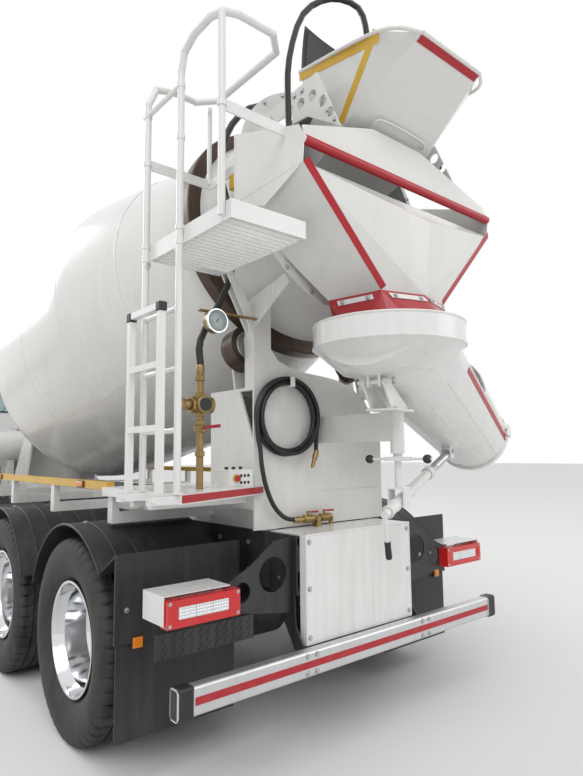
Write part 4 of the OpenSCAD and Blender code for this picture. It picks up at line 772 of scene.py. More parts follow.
@dataclass
class WashHose:
    """Wash-down hose: from its tap up round the hook in a coil, and down to the nozzle."""

    diameter: float = 0.025
    centre: Triple = (-3.418, 0.299, 1.698)
    radius: float = 0.205
    bundle: float = 0.0184
    turns: float = 3.0
    tail: tuple[Triple, ...] = (
        (-3.44, 0.2413, 1.132), (-3.44, 0.275, 1.134), (-3.44, 0.35, 1.152), (-3.44, 0.425, 1.22),
        (-3.44, 0.478, 1.33), (-3.434, 0.5, 1.44), (-3.428, 0.504, 1.52), (-3.424, 0.504, 1.566),
    )
    end: tuple[Triple, ...] = (
        (-3.415, 0.094, 1.566), (-3.423, 0.097, 1.535), (-3.436, 0.108, 1.508), (-3.442, 0.12, 1.482),
    )

    def coil(self) -> Array:
        """The turns: a circle in YZ whose section point itself goes slowly round the bundle.

        Section angle = 110 degrees + a quarter of the angle travelled, so strands that pass one place lie a
        quarter turn apart. The first and last stretch swing out to meet the free ends.

        Returns:
            Points along the coil.
        """
        start, stop = math.radians(-32.8), math.radians(212.8) + self.turns * 2 * math.pi
        a = np.linspace(start, stop, 340)
        section = math.radians(110.0) + (a - start) / 4
        swing = np.clip(1 - (a - start) / 0.7, 0, 1) + np.clip(1 - (stop - a) / 0.7, 0, 1)
        swing = 0.0205 * swing**2 * (3 - 2 * np.clip(swing, 0, 1))
        r = self.radius + self.bundle * np.sin(section) + swing
        x = self.centre[0] + self.bundle * np.cos(section)
        return np.stack((x, self.centre[1] + r * np.cos(a), self.centre[2] + r * np.sin(a)), -1)

    def build(self) -> None:
        turns = self.coil()
        route = np.vstack((np.array(self.tail[:-1]), turns[2:-2:8], np.array(self.end[1:])))
        path = smooth(route, 6)
        form = Form().tube(path, self.diameter / 2, 12, up=AHEAD)
        hose = form.build("wash_hose", Finishes.HOSE, angle=60.0)
        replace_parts(hose, "wash_hose_coil", "wash_hose_tail")
        ferrule = Form()
        ferrule.turned([(0.0, 0.0), (0.0, 0.017), (0.012, 0.0185), (0.045, 0.0175), (0.05, 0.0135),
                        (0.05, 0.0)], (-3.44, 0.236, 1.132), LEFT, 20)
        start = np.array(self.end[-1])
        way = unit(np.array((-2.0, 12.0, -26.0)))
        ferrule.turned([(-0.03, 0.0), (-0.03, 0.0145), (-0.002, 0.0165), (0.004, 0.0165), (0.004, 0.0)],
                       start, way, 20)
        ferrule.build("wash_hose_ferrules", Finishes.BRASS)


@dataclass
class Drum:
    """Mixing drum: a smooth turned shell with weld seams, track, mouth flange and inner spirals."""

    outer: tuple[tuple[float, float], ...] = (
        (0.192, 0.512), (0.192, 0.546), (0.210, 0.546), (0.210, 0.524), (0.60, 0.634), (1.20, 0.80),
        (1.75, 0.953), (2.02, 1.024), (2.08, 1.0385), (2.14, 1.0515), (2.21, 1.0605), (2.30, 1.0645),
        (2.80, 1.065), (3.30, 1.065), (3.62, 1.064), (3.70, 1.059), (3.78, 1.046), (3.84, 1.023),
        (3.90, 1.0), (4.40, 0.796), (4.90, 0.593), (4.975, 0.56), (5.005, 0.53), (5.02, 0.50),
        (5.035, 0.20), (5.04, 0.001))
    wall: float = 0.008
    steps: int = 160

    def radius(self, s: Array) -> Array:
        """Outer radius at each distance along the axis."""
        p = np.array(self.outer[3:])
        return np.interp(s, p[:, 0], p[:, 1])

    def on_shell(self, s: Array, a: Array, lift: float) -> Array:
        """Points on the shell.

        Args:
            s: Distances along the axis.
            a: Angles round it, from the left side upwards.
            lift: Height over the plate.

        Returns:
            Points in the drum's frame.
        """
        return circle(s, self.radius(s) + lift, a)

    def build(self) -> None:
        """Makes the drum's pieces."""
        inner = [(s, r - self.wall) for s, r in self.outer[3:-2]]
        inner[0] = (0.192, 0.512)
        shell = Form(DRUM).turned(self.outer, ORIGIN, AHEAD, self.steps)
        shell.turned(inner[::-1], ORIGIN, AHEAD, self.steps)
        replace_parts(shell.build("drum_shell", Finishes.BODY, "drum", angle=40.0), "mixer_drum")
        rings = (0.26, 0.86, 1.52, 2.17, 2.95, 3.73, 4.36, 4.95)
        seams = Form(DRUM)
        for s in rings[1:-1]:
            r = float(self.radius(np.array(s)))
            seams.turned([(s - 0.007, r - 0.001), (s - 0.003, r + 0.0025), (s + 0.003, r + 0.0025),
                          (s + 0.007, r - 0.001)], ORIGIN, AHEAD, self.steps)
        for k, (low, high) in enumerate(zip(rings[:-1], rings[1:])):
            s = np.linspace(low, high, 24)
            seams.tube(self.on_shell(s, np.full(24, 0.7 + 2.4 * k), 0.0), 0.0028, 6, up=UP)
        seams.build("drum_weld_seams", Finishes.BODY, "drum", angle=60.0)
        track = Form(DRUM).turned([(0.782, 0.68), (0.782, 0.7625), (0.787, 0.7695), (0.867, 0.7695),
                                   (0.872, 0.7625), (0.872, 0.70)], ORIGIN, AHEAD, self.steps)
        track.build("roller_track", Finishes.TRACK, "drum", angle=30.0)
        bolts = Form(DRUM).bolts(circle(0.192, 0.535, around(24)), BACK, 0.009, 0.007)
        bolts.build("mouth_flange_bolts", Finishes.BOLT, "drum")
        self.hatch()
        self.spirals()

    def hatch(self) -> None:
        """Clean-out hatch: an oval plate laid on the shell, its edge rolled down, with bolts round it."""
        q = np.linspace(0.0, 1.0, 8)[:, None]
        turn = np.linspace(0, math.tau, 48, endpoint=False)[None, :]
        along, round_from_left, r = 2.62, 2.2, 1.065
        s = along + 0.21 * q * np.cos(turn)
        a = round_from_left + 0.15 / r * q * np.sin(turn)
        lift = 0.009 * np.clip((1 - q) * 6, 0, 1) - 0.001 + 0 * turn
        points = circle(s, self.radius(s) + lift, a)
        Form(DRUM).grid(points[1:], close_v=True, flip=True).add(
            points[1], np.arange(48)[None, :]).build("drum_hatch", Finishes.BODY, "drum", merge=True)
        turn = turn[0, ::4]
        s, a = along + 0.17 * np.cos(turn), round_from_left + 0.12 / r * np.sin(turn)
        Form(DRUM).bolts(self.on_shell(s, a, 0.008), circle(0.0, 1.0, a), 0.009, 0.007).build(
            "drum_hatch_bolts", Finishes.BOLT, "drum")

    def spirals(self) -> None:
        """Two inner blades: the shell's inside carried round a helix, with the free edge towards the axis.

        Angle = start + 3.6 s, and the blade reaches 0.3 m inwards, tapering in over the first stretch.
        """
        s = np.linspace(0.25, 4.6, 260)[:, None]
        depth = np.linspace(0.0, 1.0, 4)[None, :]
        blades = Form(DRUM)
        for start in (0.0, math.pi):
            a = start + s * 3.6
            r = self.radius(s) - self.wall - 0.30 * depth * np.minimum(1.0, s + 0.35)
            blades.grid(circle(s + 0.05 * depth, r, a + 0 * depth))
        made = blades.build("mixing_spirals", Finishes.BODY, "drum", angle=50.0)
        thicken(made, 0.006)


@dataclass
class Wheel:
    """One road wheel: tyres with cut tread, dished rims with hand holes, hub and nuts."""

    number: int
    side: int
    tyre_w: float = 0.312
    rim_r: float = 0.298
    rim_half: float = 0.125
    disc_offset: float = 0.174
    single_y: float = 1.025
    twin_y: tuple[float, float] = (1.088, 0.740)
    steps: int = 288

    @property
    def body(self) -> str:
        """Name of the CAD body and node."""
        return f"wheel_{self.number}_{'left' if self.side > 0 else 'right'}"

    @property
    def twin(self) -> bool:
        """True on the driven axles."""
        return self.number > 2

    def centre(self, y: float) -> Array:
        """A point on the axle line."""
        return np.array((AXLES[self.number - 1], self.side * y, TYRE_R))

    def tyre(self, form: Form, y: float) -> None:
        """One tyre: a profile swept round, with the tread lowered where grooves run.

        Radius = profile radius - groove depth, where round grooves follow the distance across and side
        grooves follow the angle: every fourth of 288 steps is cut outside the inner ribs, shifted by row.

        Args:
            form: Where the tyre goes.
            y: Its middle, from the centre plane.
        """
        h, rr = self.tyre_w / 2, self.rim_r
        across = np.array((0.090, 0.121, 0.144, 0.156, 0.1565, 0.152, 0.140, 0.126, 0.1065, 0.092, 0.078,
                           0.062, 0.0605, 0.050, 0.0485, 0.036, 0.020, 0.0055, 0.0045))
        radius = np.array((rr - 0.006, rr + 0.022, rr + 0.060, rr + 0.110, TYRE_R - 0.09, TYRE_R - 0.06,
                           TYRE_R - 0.018, TYRE_R - 0.005, TYRE_R, TYRE_R, TYRE_R, TYRE_R, TYRE_R - 0.013,
                           TYRE_R - 0.013, TYRE_R, TYRE_R, TYRE_R, TYRE_R, TYRE_R - 0.013))
        across = np.minimum(across, h + 0.001)
        side = np.concatenate((across, -across[::-1]))
        base = np.concatenate((radius, radius[::-1]))
        k = np.arange(self.steps)[:, None]
        shoulder = (np.abs(side) > 0.064) & (np.abs(side) < 0.15) & (base > TYRE_R - 0.07)
        ribs = (np.abs(side) > 0.01) & (np.abs(side) < 0.047)
        shift = np.where(side > 0, 0, 2)[None, :]
        cut = 0.012 * ((k + shift) % 6 < 1) * shoulder[None, :]
        cut = cut + 0.006 * ((k + shift) % 4 < 1) * ribs[None, :]
        r = base[None, :] - cut
        a = k * 2 * math.pi / self.steps
        centre = self.centre(y)
        y = np.broadcast_to(centre[1] + self.side * side[None, :], r.shape)
        points = np.stack((centre[0] + r * np.cos(a), y, centre[2] + r * np.sin(a)), -1)
        form.grid(points, close_u=True, flip=self.side < 0)

    def rim(self, form: Form, y: float, disc: float, face: int) -> None:
        """The rim's barrel as a turned band, and its disc with ten round hand holes.

        Args:
            form: Where the rim goes.
            y: Middle of the rim.
            disc: Distance of the disc from that middle, outwards.
            face: Which way the dish runs from its flat middle.
        """
        r, d = self.rim_r, self.rim_half
        out = (0.0, float(self.side), 0.0)
        barrel = [(-d, r), (-d + 0.006, r + 0.001), (-d + 0.013, r - 0.008), (d - 0.013, r - 0.008),
                  (d - 0.006, r + 0.001), (d, r), (d, r - 0.013), (d - 0.014, r - 0.020),
                  (d - 0.035, r - 0.024), (d - 0.06, r - 0.042), (-d + 0.06, r - 0.042),
                  (-d + 0.035, r - 0.024), (-d + 0.014, r - 0.020), (-d, r - 0.013)]
        form.turned(barrel, self.centre(y), out, 96, shut=True)
        self.disc(form, y + disc, face)

    def disc(self, form: Form, y: float, face: int) -> None:
        """The disc: ten sectors, each a fan of rings from a round hole out to the sector's edge.

        A point is hole centre + (edge - hole) * t, in angle and radius, and its depth follows the dish:
        flat to 165 mm, then a slope of 82 mm up to 232 mm.

        Args:
            form: Where the disc goes.
            y: Its flat middle, from the centre plane.
            face: Which way the dish runs.
        """
        turn = np.linspace(0, 2 * math.pi, 32, endpoint=False)[None, :]
        t = np.concatenate((np.linspace(1, 0, 6), np.linspace(0, 1, 6)))[:, None]
        lift = np.repeat((0.0, 0.012), 6)[:, None]
        half = math.radians(18.0)
        r_low, r_high, r_hole = 0.150, self.rim_r - 0.041, self.rim_r - 0.088
        edge_a = half * np.clip(np.sqrt(2) * np.cos(turn), -1, 1)
        edge_r = np.where(np.sin(turn) > 0, (r_high - r_hole), (r_hole - r_low)) * np.clip(
            np.sqrt(2) * np.sin(turn), -1, 1) + r_hole
        hole_a = 0.023 * np.cos(turn) / r_hole
        hole_r = r_hole + 0.023 * np.sin(turn)
        angle, radius = hole_a + (edge_a - hole_a) * t, hole_r + (edge_r - hole_r) * t
        depth = face * np.interp(radius, (0.165, self.rim_r - 0.066, r_high), (0.0, 0.082, 0.104)) + lift
        for k in range(10):
            a = angle + math.radians(36.0 * k + 18.0)
            form.grid(np.stack((AXLES[self.number - 1] + radius * np.cos(a), self.side * (y + depth),
                                TYRE_R + radius * np.sin(a)), -1), close_v=True)
        form.turned([(0.0, 0.10), (0.0, 0.152), (0.012, 0.152), (0.012, 0.10)], self.centre(y),
                    (0, self.side, 0), 80, shut=True)

    def hub(self, form: Form, y: float, high: float) -> None:
        """Hub end: a stepped turned cap with a domed face."""
        form.turned([(-0.05, 0.109), (0.014, 0.109), (0.02, 0.105), (0.05, 0.096), (high - 0.02, 0.078),
                     (high - 0.004, 0.070), (high, 0.058), (high + 0.002, 0.02), (high + 0.002, 0.001)],
                    self.centre(y), (0, self.side, 0), 48)

    def nuts(self, form: Form, y: float) -> None:
        """Ten wheel nuts with studs on their circle."""
        ring = self.centre(y) + circle(0.0, 0.1425, around(10))[:, [1, 0, 2]]
        form.bolts(ring, (0, self.side, 0), 0.0185, 0.024)
        form.bolts(ring, (0, self.side, 0), 0.011, 0.034, washer=False)

    def build(self) -> None:
        """Makes the wheel's pieces and hides its CAD node."""
        rubber, metal, steel, cast = Form(), Form(), Form(), Form()
        if self.twin:
            flat, cap = self.twin_y[0] - self.disc_offset, 0.15
            for y, face in zip(self.twin_y, (1, -1)):
                self.tyre(rubber, y)
                self.rim(metal, y, -face * self.disc_offset - (0.012 if face < 0 else 0.0), face)
            drum = (0.596, flat - 0.03)
        else:
            flat, cap = self.single_y + self.disc_offset, 0.055
            self.tyre(rubber, self.single_y)
            self.rim(metal, self.single_y, self.disc_offset, -1)
            drum = (0.907, flat - 0.03)
        self.nuts(steel, flat + 0.012)
        self.hub(steel, flat, cap)
        cast.turned([(0.0, 0.19), (0.0, 0.205), (0.16, 0.205), (0.175, 0.19), (drum[1] - drum[0], 0.13),
                     (drum[1] - drum[0], 0.05)], self.centre(drum[0]), (0, self.side, 0), 64)
        tyre = rubber.build(f"{self.body}_tyre", Finishes.TYRE, self.body, angle=40.0)
        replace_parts(tyre, self.body)
        metal.build(f"{self.body}_rim", Finishes.CHROME, self.body, slot=Slot.WHEEL, angle=35.0, merge=True)
        steel.build(f"{self.body}_hub", Finishes.BOLT, self.body, slot=Slot.WHEEL, angle=35.0)
        cast.build(f"{self.body}_brake_drum", Finishes.CAST, self.body, angle=35.0)


def thicken(sheet: bpy.types.Object, thickness: float) -> None:
    """Gives a sheet a wall."""
    wall = sheet.modifiers.new("wall", "SOLIDIFY")
    wall.thickness = thickness


class Patterns:
    """Small patterns to stamp many times."""

    @staticmethod
    def dome(radius: float, height: float, steps: int = 12) -> Form:
        """A low dome."""
        a = np.linspace(0.0, 0.5 * math.pi, 5)[:-1]
        return Form().turned([(height * math.sin(v), radius * math.cos(v)) for v in a] + [(height, 0.0)],
                             ORIGIN, UP, steps)

    @staticmethod
    def lozenge(half_length: float, half_width: float, height: float) -> Form:
        """One raised lozenge of chequer plate, with a ridge along it."""
        a, b, h = half_length, half_width, height
        corners = np.array(((-a, 0, 0), (0, -b, 0), (a, 0, 0), (0, b, 0), (-a / 2, 0, h), (a / 2, 0, h)))
        return Form().add(corners, np.array(((0, 1, 5, 4), (2, 3, 4, 5))), np.array(((1, 2, 5), (3, 0, 4))))

    @staticmethod
    def bar(length_m: float, width: float, height: float) -> Form:
        """A small bar lying along X."""
        return Form().box((-length_m / 2, -width / 2, 0), (length_m / 2, width / 2, height))


def rows(*axes: Sequence[float]) -> Array:
    """Every combination of the given coordinates, one point a row."""
    return np.stack(np.meshgrid(*axes, indexing="ij"), -1).reshape(-1, 3)


def chequer(x: tuple[float, float], y: tuple[float, float], z: float, pitch: float = 0.034) -> Form:
    """Chequer plate: lozenges on a square grid, every other one turned by a right angle.

    Args:
        x: Low and high end.
        y: Low and high end.
        z: Height of the plate.
        pitch: Spacing.

    Returns:
        The form.
    """
    p = rows(np.arange(x[0] + pitch / 2, x[1], pitch), np.arange(y[0] + pitch / 2, y[1], pitch), [z])
    index = np.floor((p[:, 0] - x[0]) / pitch) + np.floor((p[:, 1] - y[0]) / pitch)
    form, mark = Form(), Patterns.lozenge(pitch * 0.42, pitch * 0.13, 0.0022)
    for parity, up in ((0, (1.0, 1.0, 0.0)), (1, (1.0, -1.0, 0.0))):
        form.stamp(mark, p[index % 2 == parity], UP, up=up)
    return form


@dataclass
class Collector:
    """Discharge collector: warning tape on its wings, ring bolts, folded edges and the collar's clamps."""

    strip_half: float = 0.1175
    strip_drop: float = 0.10
    strip_width: float = 0.16
    strip_lift: float = 0.0008
    strip_wall: float = 0.004

    def build(self) -> None:
        """Makes the collector's pieces."""
        tapes = Form()
        wing = np.array(((-4.078, 0.750, 2.791), (-4.081, 0.254, 2.290))) + (-0.0006, 0.0002, -0.0002)
        tapes.ribbon(wing, (-0.0132, -0.0238, 0.0236), (-0.0014, 0.0004, -0.0004))
        tapes.mirrored()
        tapes.tube(np.linspace((-4.075, -0.744, 2.900), (-4.075, 0.744, 2.900), 24), 0.0226, 20, caps=False)
        tapes.build("collector_tapes", Finishes.TAPE_RED, merge=True)
        ring = circle(0.304, 0.716, np.radians(np.arange(-60, 241, 15.0)))
        Form(DRUM).bolts(ring, BACK, 0.010, 0.008).build("collector_ring_bolts", Finishes.BOLT)
        folds = Form()
        for start, end in (((-4.074, 0.748, 2.795), (-3.553, 0.748, 2.773)),
                           ((-3.549, 0.744, 2.769), (-3.777, 0.308, 2.292)),
                           ((-3.549, 0.751, 2.775), (-3.549, 0.751, 3.145))):
            folds.tube(np.linspace(start, end, 12), 0.005, 8)
        folds.mirrored()
        folds.tube(np.linspace((-4.147, 0.0, 2.295), (-4.193, 0.0, 2.655), 12), 0.005, 8)
        folds.build("collector_folds", Finishes.BODY)
        strips, bolts = Form(), Form()
        for start, end, down, out in self.clamps():
            strips.ribbon((start, end), down, out * self.strip_wall)
            spots = np.array((start + (end - start) * 0.14, end + (start - end) * 0.14))
            bolts.bolts(spots + down / 2 + out * self.strip_wall, out, 0.010, 0.008)
        strips.build("collar_strips", Finishes.WHITE, merge=True)
        bolts.build("collar_bolts", Finishes.BOLT)

    def clamps(self) -> Iterable[tuple[Array, Array, Array, Array]]:
        """Upper start and end of each clamp strip on the collar's facets, its width vector and its normal."""
        top, foot = 2.290, 2.126
        rim = np.array(((-3.769, -0.311), (-4.081, -0.254), (-4.153, 0.0), (-4.081, 0.254), (-3.769, 0.311)))
        for a, b in zip(rim[:-1], rim[1:]):
            out = unit(np.array((a[1] - b[1], b[0] - a[0])))
            low = np.array((*(np.array((POST_X, 0.0)) + 0.306 * out), foot))
            start, end = np.array((*a, top)), np.array((*b, top))
            normal = unit(np.cross(end - start, low - start))
            normal = normal if normal[:2] @ out > 0 else -normal
            down = self.strip_width * (low - (start + end) / 2)
            first, last = (corner + self.strip_drop * (low - corner) for corner in (start, end))
            inset = 0.5 - self.strip_half / float(np.linalg.norm(b - a))
            lift = self.strip_lift * normal
            yield first + inset * (last - first) + lift, last + inset * (first - last) + lift, down, normal


@dataclass
class Hopper:
    """Charging hopper: rolled rim, warning strips, rear rod, rubber flap and bracket bolts."""

    rim: tuple[Triple, ...] = ((-4.375, 0.242, 3.480), (-4.227, 0.386, 3.505), (-3.650, 0.386, 3.603))
    flap_half: float = 0.37
    flap_wall: float = 0.006

    def build(self) -> None:
        """Makes the hopper's pieces."""
        rim = Form().tube(smooth(self.rim, 10), 0.010, 10, up=UP).mirrored()
        rim.tube(np.linspace((-4.377, -0.242, 3.480), (-4.377, 0.242, 3.480), 12), 0.010, 10)
        rim.tube(np.linspace((-3.648, -0.386, 3.603), (-3.648, 0.386, 3.603), 12), 0.010, 10)
        rim.build("hopper_rim", Finishes.BODY)
        side = np.array((0.027, 0.988, -0.157))
        edge = np.array(self.rim[1:]) + 0.0008 * side
        fold = np.array((self.rim[1], (-3.925, 0.3285, 3.195))) + 0.0012 * side
        strip = Form().ribbon(edge, (0.0083, -0.0079, -0.0487), 0.0015 * side)
        strip.ribbon(fold, (0.0303, 0.0037, 0.0288), 0.0018 * side)
        strip.build("hopper_yellow_strip", Finishes.YELLOW, merge=True)
        edge = ((-4.3765, 0.242, 3.4785), (-4.3765, -0.242, 3.4785))
        tape = Form().ribbon(edge, (0.0378, 0, -0.0244), (-0.0010, 0, -0.0015))
        tape.build("hopper_red_strip", Finishes.TAPE_RED, merge=True)
        rod = smooth(((-3.965, 0.176, 3.210), (-3.982, 0.176, 3.200), (-4.031, 0.152, 3.232),
                      (-4.031, -0.175, 3.232), (-4.007, -0.230, 3.217), (-3.990, -0.230, 3.227)), 8)
        Form().tube(rod, 0.006, 12, up=UP).build("hopper_rear_rod", Finishes.BODY)
        self.flap()
        bolts = Form().bolts(rows([-3.76, -3.70], [0.471], [3.40]), LEFT, 0.012, 0.009)
        bolts.bolts(np.array(((-4.00, 0.471, 3.13), (-3.95, 0.471, 3.20))), LEFT, 0.009, 0.007).mirrored()
        bolts.build("hopper_bracket_bolts", Finishes.BOLT)

    def flap(self) -> None:
        """Rubber splash flap: a sheet that stands on the hopper's front rim and bends back a little.

        x = foot x - 0.04 bend^2, and a slow wave of 6 mm runs along it.
        """
        u = np.linspace(0, 1, 22)[:, None]
        v = np.linspace(0, 1, 16)[None, :]
        x = -3.646 - 0.036 * v**2 + 0.006 * np.sin(u * 9.0) * v
        y = -self.flap_half + 2 * self.flap_half * u + 0 * v
        z = 3.575 + (0.20 + 0.09 * u) * v + 0.006 * np.sin(u * 6.0 + 1.0) * v
        sheet = Form().grid(np.stack((x, y, z + 0 * u), -1))
        made = sheet.build("hopper_splash_flap", Finishes.HOSE, angle=60.0)
        thicken(made, self.flap_wall)
        strip = Form().box((-3.645, -self.flap_half, 3.585), (-3.637, self.flap_half, 3.612))
        strip.build("splash_flap_strip", Finishes.WHITE, bevel=0.002)
        Form().bolts(rows([-3.637], np.linspace(-0.33, 0.33, 7), [3.5985]), AHEAD, 0.008, 0.006).build(
            "splash_flap_bolts", Finishes.BOLT)


@dataclass
class ChuteDetails:
    """Swivel chute: rolled edges, warning tape, bend lines, pad, hinge bolts, folding end and screw jack."""

    inlet_r: float = 0.303
    taper: float = 0.07 / 1.433
    plate: float = 0.006

    def skin(self, s: Array, angle: float, lift: float = 0.0) -> Array:
        """Points on the trough's outside.

        Args:
            s: Distances along the axis.
            angle: Degrees below the horizontal on the rear-facing side.
            lift: Height over the plate.

        Returns:
            Points in the chute's frame.
        """
        r = self.inlet_r - self.taper * s + self.plate + lift
        return circle(s, -r, np.full_like(s, math.radians(angle)))

    def build(self) -> None:
        """Makes the pieces of the chute, its folding end and the jack."""
        s = np.linspace(0.37, 1.40, 26)
        edges = Form(CHUTE).tube(self.skin(s, 1.0, -0.003), 0.008, 8, up=UP)
        edges.tube(self.skin(s, 179.0, -0.003), 0.008, 8, up=UP)
        edges.build("chute_rolled_edges", Finishes.WHITE, "chute")
        low, high = self.skin(s, 11.0, 0.0005), self.skin(s, 4.5, 0.0005)
        Form(CHUTE).ribbon(low, (high - low)[0], (0, -0.0025, -0.0002)).build(
            "chute_red_tape", Finishes.TAPE_RED, "chute", merge=True)
        bends = Form(CHUTE)
        for angle in (38.0, 66.0, 114.0, 142.0):
            bends.tube(self.skin(np.linspace(0.22, 1.39, 22), angle, 0.0), 0.0035, 8, up=LEFT)
        bends.build("chute_bend_lines", Finishes.WHITE, "chute")
        self.pad()
        band, middle = Form(SWIVEL), (-0.080, 0.0, 0.0)
        band.turned([(2.136, 0.386), (2.137, 0.3935), (2.142, 0.396), (2.147, 0.3935), (2.147, 0.386)],
                    middle, UP, 96, shut=True)
        band.turned([(2.026, 0.390), (2.028, 0.3955), (2.034, 0.3955), (2.036, 0.390)], middle, UP, 96,
                    shut=True)
        band.build("chute_inlet_beads", Finishes.WHITE, "chute")
        pins = np.array(((-0.250, 0.0365, 1.858), (0.790, 0.0345, 1.498)))
        Form(SWIVEL).bolts(pins, LEFT, 0.011, 0.008).bolts(pins * (1, -1, 1), RIGHT, 0.011, 0.008).build(
            "chute_ear_bolts", Finishes.BOLT, "chute")
        self.folding_end()
        self.swivel()
        self.jack()

    def pad(self) -> None:
        """Raised rounded pad under the trough where the jack's ears are welded."""
        u = np.linspace(0, math.tau, 40, endpoint=False)[None, :]
        q = np.linspace(1, 0, 7)[:-1, None]
        s = 0.86 + 0.16 * q * squared(np.cos(u), 0.5)
        a = math.pi / 2 + 0.35 * q * squared(np.sin(u), 0.5)
        r = self.inlet_r - self.taper * s + self.plate + 0.003 * np.clip((1 - q) * 5, 0, 1) - 0.001
        points = circle(s, -r, a)
        Form(CHUTE).grid(points, close_v=True).add(points[-1], np.arange(40)[None, :]).build(
            "chute_jack_pad", Finishes.WHITE, "chute", merge=True)

    def folding_end(self) -> None:
        """Folded end: its edge beads, carrying handle and red tape."""
        s = np.linspace(0.80, 1.41, 14)
        edges = Form(CHUTE)
        for k in (-1, 1):
            side = self.skin(s, 0.0, -0.003) * (1, k, 1) + (0, 0, 0.022)
            edges.tube(side, 0.007, 8, up=UP)
        edges.tube(circle(1.424, 0.2415, np.radians(np.linspace(18, 162, 30))), 0.006, 8, up=AHEAD)
        edges.build("chute_end_edges", Finishes.WHITE, "chute_extension")
        handle = smooth(((0.98, -0.10, 0.241), (0.98, -0.10, 0.275), (1.0, -0.085, 0.285),
                         (1.0, 0.085, 0.285), (0.98, 0.10, 0.275), (0.98, 0.10, 0.241)), 6)
        grip = Form(CHUTE).tube(handle, 0.010, 12, up=AHEAD)
        grip.build("chute_end_handle", Finishes.WHITE, "chute_extension")
        ring = circle(1.375, 0.2422, np.radians(np.linspace(20, 160, 26)))
        Form(CHUTE).ribbon(ring, (0.035, 0, 0), (0, 0, 0.0015), 2).build(
            "chute_end_tape", Finishes.TAPE_RED, "chute_extension", merge=True)

    def swivel(self) -> None:
        """Swivel plate's bolts, the pin's cotter ends and the grips on the locking knobs."""
        bolts = Form(SWIVEL).bolts(rows((-0.165, 0.008), (-0.070, 0.070), (1.7153,)), UP, 0.010, 0.008)
        bolts.bolts(rows((-0.250,), (0.096,), (1.842,)), LEFT, 0.016, 0.010)
        bolts.bolts(rows((-0.250,), (-0.096,), (1.842,)), RIGHT, 0.016, 0.010)
        bolts.bolts(rows((0.0,), (0.052,), (1.245,)), LEFT, 0.014, 0.009)
        bolts.build("swivel_bolts", Finishes.BOLT, "swivel")
        knobs = Form(SWIVEL)
        for k in (-1, 1):
            knobs.turned([(-0.0235, 0.0), (-0.020, 0.0135), (-0.012, 0.0205), (0.0, 0.0235), (0.012, 0.0205),
                          (0.020, 0.0135), (0.0235, 0.0)], (0.0, 0.160 * k, 1.462), (0, k, 0), 24)
        knobs.build("swivel_knobs", Finishes.PLASTIC, "swivel", angle=60.0)

    def jack(self) -> None:
        """Jack: a thread on the rod, rings on the barrel and a grip on the crank."""
        turns = np.arange(33)
        x = 0.564 + 0.006 * turns
        thread = np.stack((np.stack((x, x + 0.002, x + 0.003, x + 0.005), 1),
                           np.tile((0.0240, 0.0252, 0.0252, 0.0240), (33, 1))), -1).reshape(-1, 2)
        Form(JACK).turned(thread, ORIGIN, AHEAD, 24).build("jack_thread", Finishes.ZINC, "jack_rod")
        rings = Form(JACK)
        for at in (-0.148, -0.06, 0.15, 0.435, 0.472):
            lock = ((0.006, 0.033), (0.004, 0.0365))
            (half, root), (tip, rise) = ((0.005, 0.0295), (0.003, 0.0335)) if at < 0.4 else lock
            rings.turned([(at - half, root), (at - tip, rise), (at + tip, rise), (at + half, root)],
                         ORIGIN, AHEAD, 32)
        rings.build("jack_rings", Finishes.WHITE, "jack_barrel")
        way = unit(np.array((-0.010, 0.0, -0.085)))
        Form(JACK).turned([(0.0, 0.0), (0.0, 0.0155), (0.008, 0.0165), (0.03, 0.0150), (0.06, 0.0165),
                           (0.082, 0.0160), (0.088, 0.011), (0.088, 0.0)], (-0.205, 0, -0.130), way,
                          24).build("jack_crank_grip", Finishes.PLASTIC, "jack_barrel", angle=50.0)


